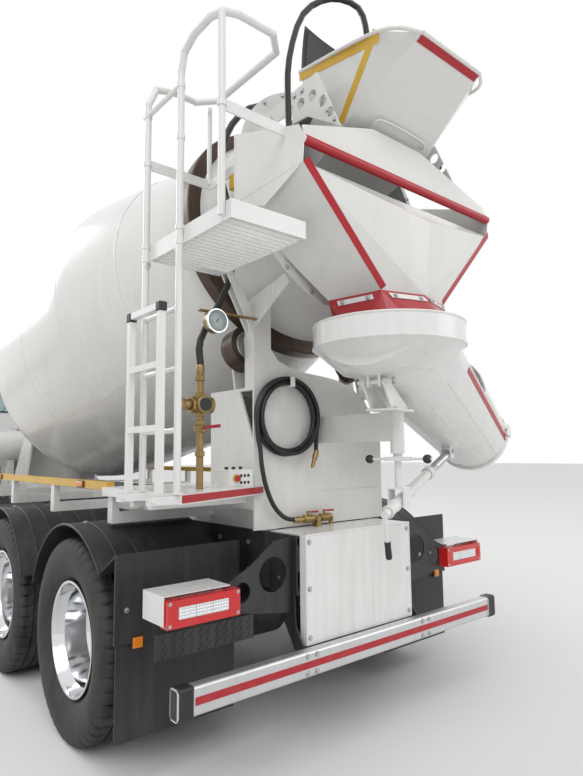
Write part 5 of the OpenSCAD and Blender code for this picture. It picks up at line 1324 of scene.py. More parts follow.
@dataclass
class RearStation:
    """Rear service station: gauge, water meter, taps, control box, deck plate and covers."""

    gauge: Triple = (-3.464, 0.803, 2.170)
    tap: tuple[float, float] = (-3.440, 1.132)
    riser: tuple[float, float] = (-3.383, 0.850)

    def build(self) -> None:
        """Makes the station's pieces."""
        self.dial()
        self.meter()
        self.taps()
        self.controls()
        self.deck()
        self.cover()
        self.hose_fittings()

    def dial(self) -> None:
        """Pressure gauge: chrome bezel, white face, ticks, needle and glass."""
        x, y, z = self.gauge
        Form().turned([(-0.006, 0.0585), (-0.004, 0.0625), (0.005, 0.0640), (0.009, 0.0615), (0.009, 0.0565),
                       (0.002, 0.0545), (0.002, 0.052)], self.gauge, BACK, 56).build(
            "gauge_bezel", Finishes.CHROME, angle=50.0)
        Form().turned([(0.0, 0.055), (0.0015, 0.055), (0.0015, 0.0)], self.gauge, BACK, 48).build(
            "gauge_face", Finishes.DIAL)
        a = np.radians(np.linspace(-45, 225, 28))
        marks = Form()
        for k, (p, way) in enumerate(zip(circle(-0.0015, 0.046, a) + self.gauge, circle(0.0, 1.0, a))):
            long = 0.009 if k % 3 == 0 else 0.005
            marks.stamp(Patterns.bar(0.0012, long, 0.0006), p[None], BACK, up=way)
        needle = unit(np.array((0.0, -0.55, 0.83)))
        side = np.cross(needle, BACK) * 0.0022
        centre = np.array((x - 0.003, y, z))
        marks.prism(np.array((centre - needle * 0.012 - side, centre - needle * 0.012 + side,
                              centre + needle * 0.040)), (-0.0008, 0, 0))
        marks.turned([(0.001, 0.0055), (0.0035, 0.005), (0.0035, 0.0)], self.gauge, BACK, 16)
        marks.build("gauge_marks", Finishes.INK, merge=True)
        glass = [(0.005, 0.056), (0.0075, 0.050), (0.009, 0.030), (0.0095, 0.0)]
        Form().turned(glass, self.gauge, BACK, 48).build("gauge_glass", Finishes.GLASS, angle=60.0)
        Form().bolts(rows([x + 0.028], [y - 0.018, y + 0.018], [z + 0.050]), BACK, 0.006, 0.005).build(
            "gauge_bracket_bolts", Finishes.BOLT)

    def meter(self) -> None:
        """Water meter and valves on the riser: register head with a lid, hexagon unions and a lever."""
        x, y = self.riser
        parts = Form()
        parts.turned([(0.030, 0.036), (0.040, 0.043), (0.050, 0.044), (0.054, 0.041), (0.056, 0.030),
                      (0.057, 0.0)], (x, y, 1.745), BACK, 40)
        for at in (1.500, 1.655, 1.700, 1.795, 1.880):
            parts.turned([(-0.013, 0.0), (-0.013, 0.025), (-0.011, 0.028), (0.011, 0.028), (0.013, 0.025),
                          (0.013, 0.0)], (x, y, at), UP, 6)
        for at in (0.784, 0.902, 0.955):
            parts.turned([(-0.008, 0.0), (-0.008, 0.033), (0.008, 0.033), (0.008, 0.0)], (x, at, 1.745),
                         LEFT, 6)
        parts.turned([(0.0, 0.0), (0.0, 0.019), (0.012, 0.021), (0.03, 0.017), (0.034, 0.0)], (x, y, 1.625),
                     BACK, 20)
        parts.bolts(rows([x - 0.050], [y - 0.03, y + 0.03], [1.715, 1.775]) + (0.02, 0, 0), BACK, 0.006,
                    0.006)
        parts.build("meter_fittings", Finishes.BRASS, bevel=0.0015)
        lever = Form().tube(smooth(((x - 0.046, y, 1.625), (x - 0.050, y - 0.02, 1.632),
                                    (x - 0.052, y - 0.085, 1.640)), 6), np.linspace(0.006, 0.009, 13), 10)
        lever.build("riser_valve_lever", Finishes.TAPE_RED, angle=50.0)
        Form().turned([(0.0, 0.034), (0.0015, 0.034), (0.0015, 0.0)], (x - 0.0565, y, 1.745), BACK, 32).build(
            "meter_window", Finishes.INK)

    def taps(self) -> None:
        """Two ball taps: hexagon ends, stems with nuts and red lever sleeves."""
        x, z = self.tap
        brass, sleeves = Form(), Form()
        for at in (0.205, 0.150, 0.080, 0.030, 0.012):
            brass.turned([(-0.007, 0.0), (-0.007, 0.022), (-0.005, 0.0245), (0.005, 0.0245), (0.007, 0.022),
                          (0.007, 0.0)], (x, at, z), LEFT, 6)
        for y in (0.178, 0.055):
            brass.turned([(0.016, 0.0), (0.016, 0.0115), (0.026, 0.0115), (0.026, 0.0)], (x, y, z), UP, 6)
            brass.bolts(((x, y, z + 0.039),), UP, 0.008, 0.005)
            outline = np.array(((x - 0.0085, y - 0.071), (x + 0.0085, y - 0.071), (x + 0.0085, y - 0.016),
                                (x - 0.0085, y - 0.016)))
            sleeves.prism(np.column_stack((outline, np.full(4, z + 0.031))), (0, 0, 0.0105))
        brass.build("tap_unions", Finishes.BRASS)
        sleeves.build("tap_levers", Finishes.TAPE_RED, bevel=0.003, segments=3)

    def controls(self) -> None:
        """Control box: a hinged lid with a lip, a red mushroom stop on a yellow plate, buttons and glands."""
        lid = Form().box((-3.4235, 0.551, 1.331), (-3.4185, 0.689, 1.407))
        lid.box((-3.421, 0.541, 1.408), (-3.309, 0.699, 1.4165))
        lid.build("control_box_lid", Finishes.WHITE, bevel=0.003, segments=3)
        plate = [(0.0, 0.021), (0.0025, 0.020), (0.0025, 0.0)]
        Form().turned(plate, (-3.4235, 0.655, 1.372), BACK, 32).build("stop_plate", Finishes.YELLOW)
        red = Form().turned([(0.0, 0.008), (0.008, 0.008), (0.010, 0.016), (0.014, 0.0165), (0.018, 0.013),
                             (0.020, 0.006), (0.0205, 0.0)], (-3.4255, 0.655, 1.372), BACK, 28)
        red.build("stop_button", Finishes.TAPE_RED, angle=60.0)
        keys = Form().stamp(Patterns.dome(0.008, 0.006, 20), rows([-3.4235], [0.580, 0.603, 0.626],
                                                                  [1.350, 1.385]), BACK)
        for at in (0.575, 0.620, 0.665):
            keys.turned([(0.0, 0.0), (0.0, 0.010), (0.012, 0.010), (0.014, 0.007), (0.014, 0.0)],
                        (-3.345, at, 1.416), UP, 8)
        keys.build("control_keys", Finishes.PLASTIC, angle=50.0)
        box = Form().box((-3.530, 0.700, 2.880), (-3.470, 0.735, 2.960))
        box.build("platform_stop_box", Finishes.YELLOW, bevel=0.004, segments=3)
        knob = Form().turned([(0.0, 0.008), (0.006, 0.008), (0.008, 0.015), (0.012, 0.015), (0.016, 0.0)],
                             (-3.530, 0.7175, 2.925), BACK, 24)
        knob.build("platform_stop_button", Finishes.TAPE_RED, angle=60.0)

    def deck(self) -> None:
        """Deck: chequer plate inside its outline and red tape on the slanted skirt."""
        plate = chequer((-3.36, -2.80), (0.70, 1.09), 1.325)
        plate.build("deck_chequer", Finishes.WHITE, angle=20.0)
        ends = np.array(((-3.6485, 1.098, 1.286), (-3.3755, 0.442, 1.286)))
        tape = Form().ribbon(ends, (0, 0, 0.034), (-0.0018, -0.0008, 0))
        tape.build("deck_tape", Finishes.TAPE_RED, merge=True)

    def cover(self) -> None:
        """Rear cover: fixing bolts and fold beads."""
        bolts = rows([-3.675], [-0.385, 0.385], [0.585, 0.82, 1.050])
        Form().bolts(bolts, BACK, 0.010, 0.007).build("rear_cover_bolts", Finishes.BOLT)
        beads = Form()
        for y in (-0.405, 0.405):
            beads.tube(np.linspace((-3.674, y, 0.555), (-3.674, y, 1.082), 8), 0.005, 8)
        beads.tube(np.linspace((-3.674, -0.405, 1.084), (-3.674, 0.405, 1.084), 8), 0.005, 8)
        beads.build("rear_cover_folds", Finishes.WHITE)

    def hose_fittings(self) -> None:
        """Ferrules of the fixed hoses."""
        metal = Form()
        metal.turned([(0.0, 0.0), (0.0, 0.0195), (0.010, 0.0225), (0.045, 0.0215), (0.050, 0.0190),
                      (0.050, 0.0)], (-3.383, 0.850, 1.900), UP, 20)
        metal.turned([(-0.05, 0.019), (-0.045, 0.0215), (0.0, 0.0215), (0.004, 0.015), (0.004, 0.0)],
                     (-3.780, 0.150, 3.560), (-0.124, 0.062, -0.99), 20)
        metal.turned([(-0.05, 0.016), (-0.045, 0.0185), (0.0, 0.0185), (0.004, 0.012), (0.004, 0.0)],
                     (-4.020, 0.250, 3.500), (0.132, -0.066, -0.989), 20)
        metal.build("fixed_hose_ferrules", Finishes.BRASS, angle=45.0)


@dataclass
class Lamps:
    """Rear lamps with cells, side markers, vent plate, underrun stripe and end caps."""

    def build(self) -> None:
        """Makes the lamp pieces."""
        cells = ((0.868, 0.938, "inner"), (0.952, 1.022, "middle"), (1.036, 1.106, "outer"))
        for low, high, name in cells:
            glass = Form().stamp(Patterns.dome(0.0075, 0.004, 6),
                                 rows([-3.659], np.arange(low, high + 0.001, 0.014),
                                      np.arange(0.808, 0.85, 0.0135)), BACK).mirrored()
            glass.box((-3.6592, low - 0.008, 0.802), (-3.6580, high + 0.008, 0.853))
            glass.box((-3.6592, -high - 0.008, 0.802), (-3.6580, -low + 0.008, 0.853))
            glass.build(f"tail_lens_{name}", Finishes.LENS_CLEAR, slot=Slot.LAMP_RED, angle=20.0)
        Form().bolts(rows([-3.662], [0.812, 1.158], [0.782, 0.873]), BACK, 0.006, 0.004).mirrored().build(
            "tail_lamp_screws", Finishes.BOLT)
        vent = Form().box((-3.655, 0.72, 0.652), (-3.648, 1.22, 0.756))
        vent.stamp(Patterns.bar(0.034, 0.007, 0.004), rows([-3.655], np.arange(0.745, 1.20, 0.043),
                                                           [0.672, 0.704, 0.736]), BACK, up=(0, 0.8, 0.6))
        vent.box((-3.650, 0.98, 0.745), (-3.610, 1.04, 0.765))
        vent.build("lamp_vent_plate", Finishes.PLASTIC, bevel=0.0015)
        amber, base = Form(), Form()
        for x in (-2.40, -0.60, 1.20):
            y, z = 1.0755, 1.3275
            base.box((x - 0.055, y - 0.001, z - 0.020), (x + 0.055, y + 0.006, z + 0.020))
            amber.box((x - 0.045, y + 0.005, z - 0.015), (x + 0.045, y + 0.014, z + 0.015))
        base.box((-3.3185, 1.107, 0.610), (-3.3140, 1.167, 0.670))
        amber.box((-3.3290, 1.113, 0.616), (-3.3180, 1.161, 0.664))
        amber.mirrored().build("side_marker_lenses", Finishes.LENS_AMBER, bevel=0.004, segments=3)
        base.mirrored().build("side_marker_bases", Finishes.PLASTIC, bevel=0.002)
        self.underrun()

    def underrun(self) -> None:
        """Red stripe on the bar's face, black caps over its ends and the bracket bolts."""
        y = np.linspace(-1.085, 1.085, 3)
        line = np.stack((0 * y - 3.7502, y, 0 * y + 0.478), -1)
        stripe = Form().ribbon(line, (0, 0, 0.032), (-0.0015, 0, 0))
        stripe.build("underrun_stripe", Finishes.TAPE_RED, merge=True)
        caps = Form().box((-3.7560, 1.088, 0.4285), (-3.6860, 1.1715, 0.5595)).mirrored()
        caps.build("underrun_caps", Finishes.PLASTIC, bevel=0.014, segments=4)
        Form().bolts(rows([-3.7503], [-0.47, -0.41, 0.41, 0.47], [0.455, 0.533]), BACK, 0.010, 0.007).build(
            "underrun_bolts", Finishes.BOLT)


@dataclass
class Guards:
    """Mudguards: rolled edges, flutes along the crown, bolts and flap fixings."""

    radius: float = 0.603
    rows: tuple[tuple[float, ...], ...] = ((1.025, 12.0, 168.0, 0.833, 1.227),
                                           (-1.305, 40.0, 160.0, 0.563, 1.245),
                                           (-2.675, 20.0, 138.0, 0.563, 1.245))

    def arc(self, x: float, low: float, high: float, y: float, lift: float) -> Array:
        """Points along a guard's crown at one distance across."""
        a = np.radians(np.linspace(low, high, 44))
        r = self.radius + lift
        return np.stack((x + r * np.cos(a), 0 * a + y, TYRE_R + r * np.sin(a)), -1)

    def build(self) -> None:
        """Makes the guards' pieces."""
        form, bolts = Form(), Form()
        for x, low, high, inner, outer in self.rows:
            for y in (inner, outer):
                form.tube(self.arc(x, low, high, y, -0.003), 0.0065, 8, up=LEFT)
            for y in np.linspace(inner, outer, 7)[1:-1]:
                form.tube(self.arc(x, low + 2, high - 2, y, -0.002), 0.0045, 6, up=LEFT)
            for y in (inner + 0.10, outer - 0.10):
                bolts.bolts(((x, y, TYRE_R + self.radius + 0.001),), UP, 0.012, 0.008)
        form.mirrored().build("guard_flutes", Finishes.PLASTIC, angle=50.0)
        bolts.bolts(rows([-3.3145], np.linspace(0.62, 1.19, 6), [0.79]), BACK, 0.009, 0.006)
        bolts.mirrored().build("guard_bolts", Finishes.BOLT)
        strip = Form().box((-3.3155, 0.585, 0.768), (-3.3035, 1.240, 0.812)).mirrored()
        strip.build("flap_clamp_strips", Finishes.PLASTIC, bevel=0.002)


@dataclass
class PlatformDetails:
    """Access platform and ladders: clamps, rung grips, floor teeth, bolts, and the folding ladder's grips and
    feet.
    """

    rails: tuple[float, float] = (-3.265, -3.605)
    rungs: tuple[float, ...] = (1.605, 1.885, 2.165, 2.445)
    rail_r: float = 0.0172
    deck_y: float = 1.100

    def build(self) -> None:
        """Makes the pieces."""
        form, r = Form(), self.rail_r
        sleeve = [(-0.013, r), (-0.011, 0.0205), (0.011, 0.0205), (0.013, r)]
        for z in self.rungs:
            for x, k in zip(self.rails, (-1, 1)):
                form.turned([(0.015, 0.0135), (0.019, 0.0175), (0.026, 0.0150), (0.030, 0.0132)],
                            (x, self.deck_y, z), (k, 0, 0), 16)
        for x in self.rails:
            for z in (2.475, 2.545, 3.245, 2.985):
                form.turned(sleeve, (x, self.deck_y, z), UP, 24)
            form.turned([(0.0, r), (0.0, 0.036), (0.006, 0.036), (0.008, r)],
                        (x, self.deck_y, 1.3252), UP, 24)
        form.turned(sleeve, (-3.955, self.deck_y, 2.985), UP, 24)
        form.build("platform_collars", Finishes.WHITE, angle=50.0)
        x = np.arange(-3.570, -3.300, 0.012)
        grips = self.grips(Patterns.lozenge(0.0045, 0.0022, 0.0016), x, self.deck_y, self.rungs, 0.0128)
        grips.build("rung_grips", Finishes.WHITE, angle=20.0)
        teeth = Form().stamp(Patterns.lozenge(0.009, 0.003, 0.003),
                             rows(np.arange(-3.965, -3.31, 0.040), np.arange(0.70, 1.08, 0.022), [2.5038]),
                             UP, up=AHEAD)
        teeth.build("platform_floor_teeth", Finishes.WHITE, angle=20.0)
        bolts = Form().bolts(rows([-3.362, -3.312], [0.700], [2.500, 2.530]) + (0.0, -0.0265, 0), RIGHT,
                             0.009, 0.007)
        bolts.build("platform_bolts", Finishes.BOLT)
        x = np.arange(-3.565, -3.300, 0.014)
        steps = self.grips(Patterns.lozenge(0.005, 0.0025, 0.002), x, 1.180, (1.600, 1.885, 2.150), 0.0145)
        steps.build("fold_ladder_grips", Finishes.WHITE, "ladder", angle=20.0)
        feet = Form()
        for x in (-3.285, -3.590):
            feet.box((x - 0.020, 1.160, 2.140), (x + 0.020, 1.200, 2.183))
        feet.build("fold_ladder_feet", Finishes.PLASTIC, "ladder", bevel=0.005, segments=3)

    @staticmethod
    def grips(mark: Form, x: Array, y: float, rungs: Sequence[float], lift: float) -> Form:
        """Small marks along the top of rungs.

        Args:
            mark: The mark.
            x: Where the marks stand along a rung.
            y: Distance of the rungs from the centre plane.
            rungs: Heights of the rungs' axes.
            lift: Height of the marks over an axis.

        Returns:
            The form.
        """
        form = Form()
        for z in rungs:
            form.stamp(mark, np.stack((x, 0 * x + y, 0 * x + z + lift), -1), UP)
        return form


@dataclass
class CabDetails:
    """Cab: wipers, sun visor, lamps, grille mesh, seals, handles, mirrors, seats and a steering rim grip."""

    def build(self) -> None:
        """Makes the cab's pieces."""
        self.screen()
        self.nose()
        self.sides()
        self.mirrors()
        self.inside()

    @staticmethod
    def on_screen(y: Array, z: Array, lift: float) -> Array:
        """Points over the windscreen, which leans back by 216 mm for each metre above z = 1.85."""
        return np.stack((4.295 - 0.2157 * (z - 1.85) + lift, y, z + 0.216 * lift), -1)

    def screen(self) -> None:
        """Three wipers, the rubber seal round the screen and a tinted visor over it."""
        arms, blades = Form(), Form()
        for y in (-0.74, -0.02, 0.70):
            foot, tip = np.array((y + 0.10, 1.80)), np.array((y - 0.16, 2.33))
            t = np.linspace(0, 1, 10)[:, None]
            line = foot + (tip - foot) * t
            arms.tube(self.on_screen(line[:, 0], line[:, 1], 0.018 + 0.010 * np.sin(np.pi * t[:, 0])),
                      np.linspace(0.010, 0.005, 10), 8, up=AHEAD)
            arms.turned([(-0.004, 0.018), (0.014, 0.018), (0.018, 0.013), (0.018, 0.0)],
                        tuple(self.on_screen(foot[:1], foot[1:], 0.006)[0]), (1, 0, 0.2), 20)
            z = np.linspace(2.05, 2.62, 12)
            blades.tube(self.on_screen(0 * z + y - 0.16 + 0.10 * (z - 2.33), z, 0.010), 0.006, 6, up=AHEAD)
        arms.build("wiper_arms", Finishes.PLASTIC)
        blades.build("wiper_blades", Finishes.HOSE)
        corners = smooth(((-1.0, 1.856), (0.0, 1.852), (1.0, 1.856), (1.036, 1.90), (0.982, 2.68),
                          (0.94, 2.728), (0.0, 2.732), (-0.94, 2.728), (-0.982, 2.68), (-1.036, 1.90),
                          (-1.0, 1.856)), 8)
        seal = self.on_screen(corners[:, 0], corners[:, 1], 0.001)
        rear = smooth(((2.1325, -0.48, 2.053), (2.1325, 0.48, 2.053), (2.1325, 0.498, 2.07),
                       (2.1325, 0.498, 2.53), (2.1325, 0.48, 2.547), (2.1325, -0.48, 2.547),
                       (2.1325, -0.498, 2.53), (2.1325, -0.498, 2.07), (2.1325, -0.48, 2.053)), 6)
        seals = Form().tube(seal, 0.009, 8, up=(1, 0, 0.2), caps=False)
        seals.tube(rear, 0.009, 8, up=AHEAD, caps=False).build("window_seals", Finishes.HOSE, angle=60.0)
        u = np.linspace(-1.02, 1.02, 26)[:, None]
        v = np.linspace(0, 1, 8)[None, :]
        x = 4.215 + 0.150 * v - 0.035 * u**2 - 0.03 * v**2
        z = 2.800 - 0.105 * v - 0.02 * u**2
        visor = Form().grid(np.stack((x, u + 0 * v, z + 0 * x), -1), flip=True).build(
            "sun_visor", Finishes.LENS_SMOKE, angle=60.0)
        thicken(visor, 0.005)
        stays = Form()
        for y in (-0.85, -0.3, 0.3, 0.85):
            stays.box((4.10, y - 0.012, 2.765), (4.24, y + 0.012, 2.780))
        stays.build("visor_stays", Finishes.PLASTIC, bevel=0.002)

    def nose(self) -> None:
        """Grille mesh and trim bars, headlamps, fog lamps, bumper plate and step treads."""
        mesh = Form()
        for z in np.arange(0.975, 1.60, 0.11):
            mesh.stamp(Patterns.bar(0.004, 0.050, 0.004), rows([4.329], np.arange(-0.745, 0.75, 0.02),
                                                               [z + 0.015]), AHEAD)
        mesh.build("grille_mesh", Finishes.PLASTIC, angle=20.0)
        bright = Form()
        for z in (0.944, 1.054, 1.164, 1.274, 1.384, 1.494, 1.604):
            bright.box((4.3545, -0.775, z - 0.006), (4.3605, 0.775, z + 0.006))
        bright.build("grille_bars", Finishes.CHROME, bevel=0.002)
        lens, ring = Form(), Form()
        for y, r in ((0.935, 0.062), (1.080, 0.062)):
            lens.turned([(-0.004, r * 0.95), (0.003, r * 0.8), (0.006, r * 0.4), (0.0068, 0.0)],
                        (4.3655, y, 0.690), AHEAD, 40)
            ring.turned([(-0.012, r * 1.02), (0.002, r * 1.14), (0.006, r * 1.08), (0.001, r * 0.96)],
                        (4.3655, y, 0.690), AHEAD, 40)
        lens.mirrored().build("headlamp_lenses", Finishes.LENS_CLEAR, angle=60.0)
        ring.mirrored().build("headlamp_rings", Finishes.CHROME, angle=60.0)
        amber = Form().box((4.3665, 1.152, 0.640), (4.3745, 1.174, 0.740)).mirrored()
        amber.build("front_indicators", Finishes.LENS_AMBER, bevel=0.003)
        plate = Form().box((4.3752, -0.26, 0.770), (4.3790, 0.26, 0.865))
        plate.build("front_blank_plate", Finishes.DIAL, bevel=0.0015)
        seams = Form()
        for z in (0.62, 0.745):
            seams.tube(np.linspace((4.3752, 0.15, z), (4.3752, 0.80, z), 6), 0.004, 8)
        seams.mirrored().build("bumper_flutes", Finishes.CAB)
        tread = chequer((3.66, 4.05), (0.93, 1.21), 0.4505, 0.03)
        tread.stamp(Patterns.lozenge(0.012, 0.004, 0.002), rows(np.arange(3.68, 4.05, 0.03),
                                                              np.arange(0.94, 1.20, 0.03), [0.7905]), UP)
        tread.mirrored().build("cab_step_treads", Finishes.TANK, angle=20.0)
        roof = Form()
        for y in (-0.9, -0.45, 0.0, 0.45, 0.9):
            roof.box((3.975, y - 0.05, 2.9585), (4.015, y + 0.05, 2.9685))
        roof.build("roof_markers", Finishes.LENS_AMBER, bevel=0.004, segments=3)
        hatch = Form().box((2.95, -0.33, 2.955), (3.55, 0.33, 2.9685))
        hatch.build("roof_hatch", Finishes.CAB, bevel=0.006, segments=3)

    def sides(self) -> None:
        """Door handles, window seals, side grab bars and lower trim."""
        for name in ("left", "right"):
            handle = Form().box((3.120, 1.198, 1.585), (3.260, 1.203, 1.650))
            handle.tube(smooth(((3.135, 1.203, 1.630), (3.150, 1.2135, 1.632), (3.235, 1.2135, 1.632),
                                (3.250, 1.203, 1.630)), 5), 0.0075, 8, up=UP)
            seal = smooth(((3.110, 1.1995, 1.905), (3.95, 1.1995, 1.905), (3.945, 1.1975, 1.94),
                           (3.805, 1.1365, 2.655), (3.775, 1.1335, 2.695), (3.125, 1.1335, 2.695),
                           (3.108, 1.1365, 2.66), (3.106, 1.1965, 1.95), (3.110, 1.1995, 1.905)), 5)
            handle.tube(seal, 0.007, 6, up=LEFT, caps=False)
            if name == "right":
                handle.flipped()
            handle.build(f"door_trim_{name}", Finishes.PLASTIC, f"door_{name}", bevel=0.002)
        bars = Form()
        for x in (4.140, 2.925):
            bars.tube(smooth(((x, 1.199, 1.52), (x, 1.225, 1.53), (x, 1.2275, 1.60), (x, 1.2275, 1.80),
                              (x, 1.225, 1.87), (x, 1.199, 1.88)), 6), 0.010, 10, up=AHEAD)
        bars.mirrored().build("cab_grab_bars", Finishes.PLASTIC)
        trim = Form().box((2.20, 1.1985, 1.21), (3.00, 1.2045, 1.33)).mirrored()
        trim.box((2.133, -1.10, 1.27), (2.1375, 1.10, 1.29))
        trim.build("cab_sill_trim", Finishes.PLASTIC, bevel=0.003)

    def mirrors(self) -> None:
        """Mirror glasses with their rims, facing back."""
        glass, rim = Form(), Form()
        for low, high in ((2.12, 2.46), (1.925, 2.085)):
            z, h = (low + high) / 2, (high - low) / 2
            a = np.linspace(0, math.tau, 40, endpoint=False)
            edge = np.stack((0 * a + 4.1235, 1.36 + squared(np.cos(a), 0.5) * 0.058,
                             z + squared(np.sin(a), 0.5) * (h - 0.012)), -1)
            glass.prism(edge[::-1], (-0.0015, 0, 0))
            rim.tube(np.vstack((edge, edge[:1])), 0.0035, 6, up=AHEAD, caps=False)
        glass.mirrored().build("mirror_glasses", Finishes.MIRROR, merge=True)
        rim.mirrored().build("mirror_rims", Finishes.PLASTIC)

    def inside(self) -> None:
        """Padded seats and a grip on the steering wheel's rim."""
        for name, y in (("left", 0.56), ("right", -0.56)):
            cushion = self.pillow((3.105, y, 1.545), (0.275, 0.245, 0.070))
            back = self.pillow((2.790, y, 1.93), (0.085, 0.240, 0.36))
            for piece, part in ((cushion, "cushion"), (back, "back")):
                made = piece.build(f"seat_{part}_{name}", Finishes.SEAT, angle=60.0)
        a = np.linspace(0, math.tau, 49)
        tilt = math.radians(30)
        ring = np.stack((3.755 - 0.22 * np.sin(a) * math.sin(tilt), 0.56 + 0.22 * np.cos(a),
                         1.81 + 0.22 * np.sin(a) * math.cos(tilt)), -1)
        grips = Form().tube(ring, 0.0165, 12, up=(math.cos(tilt), 0, math.sin(tilt)), caps=False)
        grips.build("steering_rim_grip", Finishes.HOSE, slot=Slot.PLASTIC, angle=60.0)

    @staticmethod
    def pillow(centre: Triple, half: Triple) -> Form:
        """A stuffed block: a superellipsoid with sewn flutes across its faces.

        Each coordinate is sign(c)|c|^0.35 of the sphere's, times half the size, and the radius swells and
        shrinks by 1.5 percent with the flutes.

        Args:
            centre: Middle of the block.
            half: Half its sizes.

        Returns:
            The form.
        """
        u = np.linspace(0, math.tau, 64, endpoint=False)[:, None]
        v = np.linspace(-math.pi / 2, math.pi / 2, 34)[None, 1:-1]
        x, y, z = (squared(c, 0.35) for c in (np.cos(v) * np.cos(u), np.cos(v) * np.sin(u),
                                              np.sin(v) + 0 * u))
        swell = 1.0 - 0.015 * (0.5 + 0.5 * np.cos(y * 14.0))
        points = np.stack((x * half[0] * swell, y * half[1], z * half[2] * swell), -1) + centre
        form = Form().grid(points, close_u=True)
        k = np.arange(64) * 32
        form.faces.extend((k[None, ::-1], k[None, :] + 31))
        return form


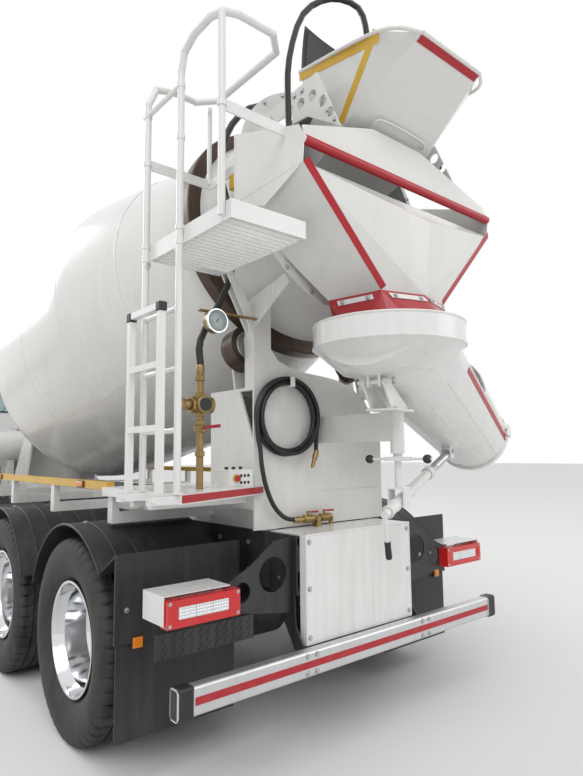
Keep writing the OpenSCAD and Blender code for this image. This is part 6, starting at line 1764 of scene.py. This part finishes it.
@dataclass
class ChassisDetails:
    """Chassis and drive: rails, air pipes, springs, tanks' straps, boxes' latches, gearbox and rollers."""

    def build(self) -> None:
        """Makes the chassis pieces."""
        rail = Form().bolts(rows(np.arange(-3.5, 4.0, 0.28), [0.4355], [0.86, 1.01]), LEFT, 0.011, 0.008)
        rail.mirrored().build("rail_bolts", Finishes.BOLT)
        pipes = Form()
        for z, r in ((0.90, 0.008), (0.925, 0.006), (0.945, 0.006)):
            x = np.linspace(-3.1, 3.6, 60)
            pipes.tube(np.stack((x, 0.4125 + 0 * x, z + 0.006 * np.sin(x * 3.0 + z * 40)), -1), r, 6, up=UP)
        pipes.build("brake_pipes", Finishes.HOSE)
        self.springs()
        self.tanks()
        self.boxes()
        self.drive()

    def springs(self) -> None:
        """U-bolts with nuts over the springs, and brake chambers behind the driven axles."""
        bows = Form()
        front, rear = (0.49, 0.635), (0.55, 0.73)
        for x, (low, high) in zip(AXLES, (front, front, rear, rear)):
            for dx in (-0.05, 0.05):
                bows.tube(smooth(((x + dx, 0.344, low), (x + dx, 0.344, high - 0.01), (x + dx, 0.356, high),
                                  (x + dx, 0.424, high), (x + dx, 0.436, high - 0.01), (x + dx, 0.436, low)),
                                 5), 0.009, 8, up=AHEAD)
            bows.bolts(rows([x - 0.05, x + 0.05], [0.344, 0.436], [low]), DOWN, 0.016, 0.014)
        bows.mirrored().build("spring_bolts", Finishes.BLACK, angle=50.0)
        pots = Form()
        for x in AXLES[2:]:
            pots.turned([(0.0, 0.0), (0.0, 0.055), (0.01, 0.075), (0.055, 0.078), (0.06, 0.084),
                         (0.07, 0.084), (0.075, 0.078), (0.12, 0.073), (0.135, 0.045), (0.135, 0.0)],
                        (x + 0.115, 0.30, 0.60), (1, 0, 0.15), 32)
        pots.mirrored().build("brake_chambers", Finishes.BLACK, angle=40.0)

    def tanks(self) -> None:
        """Straps and fittings of the water tank and the fuel tank."""
        straps = Form()
        for y in (-0.62, 0.0, 0.62):
            straps.turned([(y - 0.025, 0.2145), (y - 0.024, 0.2185), (y + 0.024, 0.2185),
                           (y + 0.025, 0.2145)], (1.878, 0, 1.600), LEFT, 72)
        straps.turned([(0.0, 0.06), (0.018, 0.06), (0.022, 0.055), (0.022, 0.0)], (1.878, 0.30, 1.812), UP,
                      32)
        straps.build("water_tank_straps", Finishes.ZINC)
        tube = Form().tube(smooth(((1.668, 0.78, 1.47), (1.648, 0.78, 1.475), (1.640, 0.78, 1.50),
                                   (1.640, 0.78, 1.70), (1.648, 0.78, 1.725), (1.668, 0.78, 1.73)), 6), 0.009,
                           10, up=LEFT)
        tube.build("water_level_tube", Finishes.LENS_CLEAR, slot=Slot.GLASS, angle=60.0)
        fuel = Form()
        for x in (-0.375, 0.165):
            a = np.linspace(0, math.tau, 80, endpoint=False)
            c, s = np.cos(a), np.sin(a)
            y, z = -0.785 + squared(c, 0.36) * 0.311, 0.800 + squared(s, 0.36) * 0.281
            ring = np.stack((0 * a + x, y, z), -1)
            out, across = 0.004 * np.stack((0 * a, c, s), -1), np.array((0.05, 0, 0))
            fuel.grid(np.stack((ring, ring + out, ring + across + out, ring + across), 1), close_u=True)
        fuel.build("fuel_tank_straps", Finishes.BLACK, merge=True, angle=50.0)
        Form().turned([(0.045, 0.047), (0.052, 0.052), (0.060, 0.052), (0.064, 0.047), (0.064, 0.020),
                       (0.072, 0.016), (0.072, 0.0)], (0.195, -0.815, 1.060), UP, 40).build(
            "fuel_cap", Finishes.PLASTIC)

    def boxes(self) -> None:
        """Lids and latches of the boxes on the left."""
        lids, bits = Form(), Form()
        for x0, x1, y, z1 in ((-0.555, -0.135, 0.9955, 1.04), (-0.085, 0.345, 1.0355, 1.02)):
            lids.box((x0 - 0.004, y - 0.57, z1 - 0.045), (x1 + 0.004, y + 0.004, z1 + 0.005))
            for x in (x0 + 0.09, x1 - 0.09):
                bits.box((x - 0.014, y, z1 - 0.075), (x + 0.014, y + 0.010, z1 - 0.010))
                bits.box((x - 0.009, y + 0.009, z1 - 0.070), (x + 0.009, y + 0.016, z1 - 0.040))
        lids.build("box_lids", Finishes.PLASTIC, bevel=0.004, segments=3)
        bits.build("box_latches", Finishes.ZINC, bevel=0.002)

    def drive(self) -> None:
        """Gearbox flange bolts and ribs, and the rollers' bearing caps."""
        gear = Form(DRUM).bolts(circle(5.066, 0.178, around(16)), AHEAD, 0.011, 0.009)
        gear.bolts(circle(5.3405, 0.10, around(10)), AHEAD, 0.009, 0.007)
        gear.build("gearbox_bolts", Finishes.BOLT)
        fins = Form(DRUM)
        for k in range(12):
            s = 5.11 + 0.014 * k
            fins.turned([(s, 0.164), (s + 0.001, 0.171), (s + 0.005, 0.171), (s + 0.006, 0.164)], ORIGIN,
                        AHEAD, 64)
        fins.build("gearbox_fins", Finishes.CAST)
        for name, k in (("left", 1), ("right", -1)):
            at = self.roller(k)
            axis = (math.cos(TILT), 0.0, -math.sin(TILT))
            form = Form().turned([(-0.0555, 0.03), (-0.0565, 0.085), (-0.0550, 0.090)], at, axis, 48)
            form.turned([(0.0550, 0.090), (0.0565, 0.085), (0.0555, 0.03)], at, axis, 48)
            u, v, w = basis(axis)
            spots = np.array(at) + circle(0.0565, 0.062, around(6)) @ np.array((w, u, v))
            form.bolts(spots, w, 0.007, 0.005)
            form.build(f"roller_caps_{name}", Finishes.ZINC, f"roller_{name}")

    @staticmethod
    def roller(side: int) -> Triple:
        """Middle of a roller: 30 degrees round from the track's lowest point, 0.895 m from the axis."""
        a, r, along = math.radians(30.0), 0.895, 0.827
        x0, z0 = DRUM.origin[0] + along * math.cos(TILT), DRUM.origin[2] - along * math.sin(TILT)
        down = r * math.cos(a)
        return (x0 - down * math.sin(TILT), side * r * math.sin(a), z0 - down * math.cos(TILT))


def dress_nodes(frame: dict) -> None:
    """Gives every CAD node the finish of its slot or its own.
    """
    slots = {row["node"]: Slot(row["material_slot"]) for row in frame["record"]["subparts"]}
    for name, made in frame["nodes"].items():
        finish = NODE_FINISHES.get(name, CAD_FINISHES[slots[name]])
        made.data.materials.clear()
        made.data.materials.append(finish.material())


def main() -> None:
    """Builds the scene in order."""
    logging.basicConfig(level=logging.INFO, format="%(name)s: %(message)s")
    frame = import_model()
    studio = Studio()
    studio.camera()
    WashHose().build()
    studio.floor()
    studio.light()
    dress_nodes(frame)
    Drum().build()
    for number in (1, 2, 3, 4):
        for side in (1, -1):
            Wheel(number, side).build()
    for part in (Collector(), Hopper(), ChuteDetails(), RearStation(), Lamps(), Guards(), PlatformDetails(),
                 CabDetails(), ChassisDetails()):
        part.build()


if __name__ == "__main__":
    main()
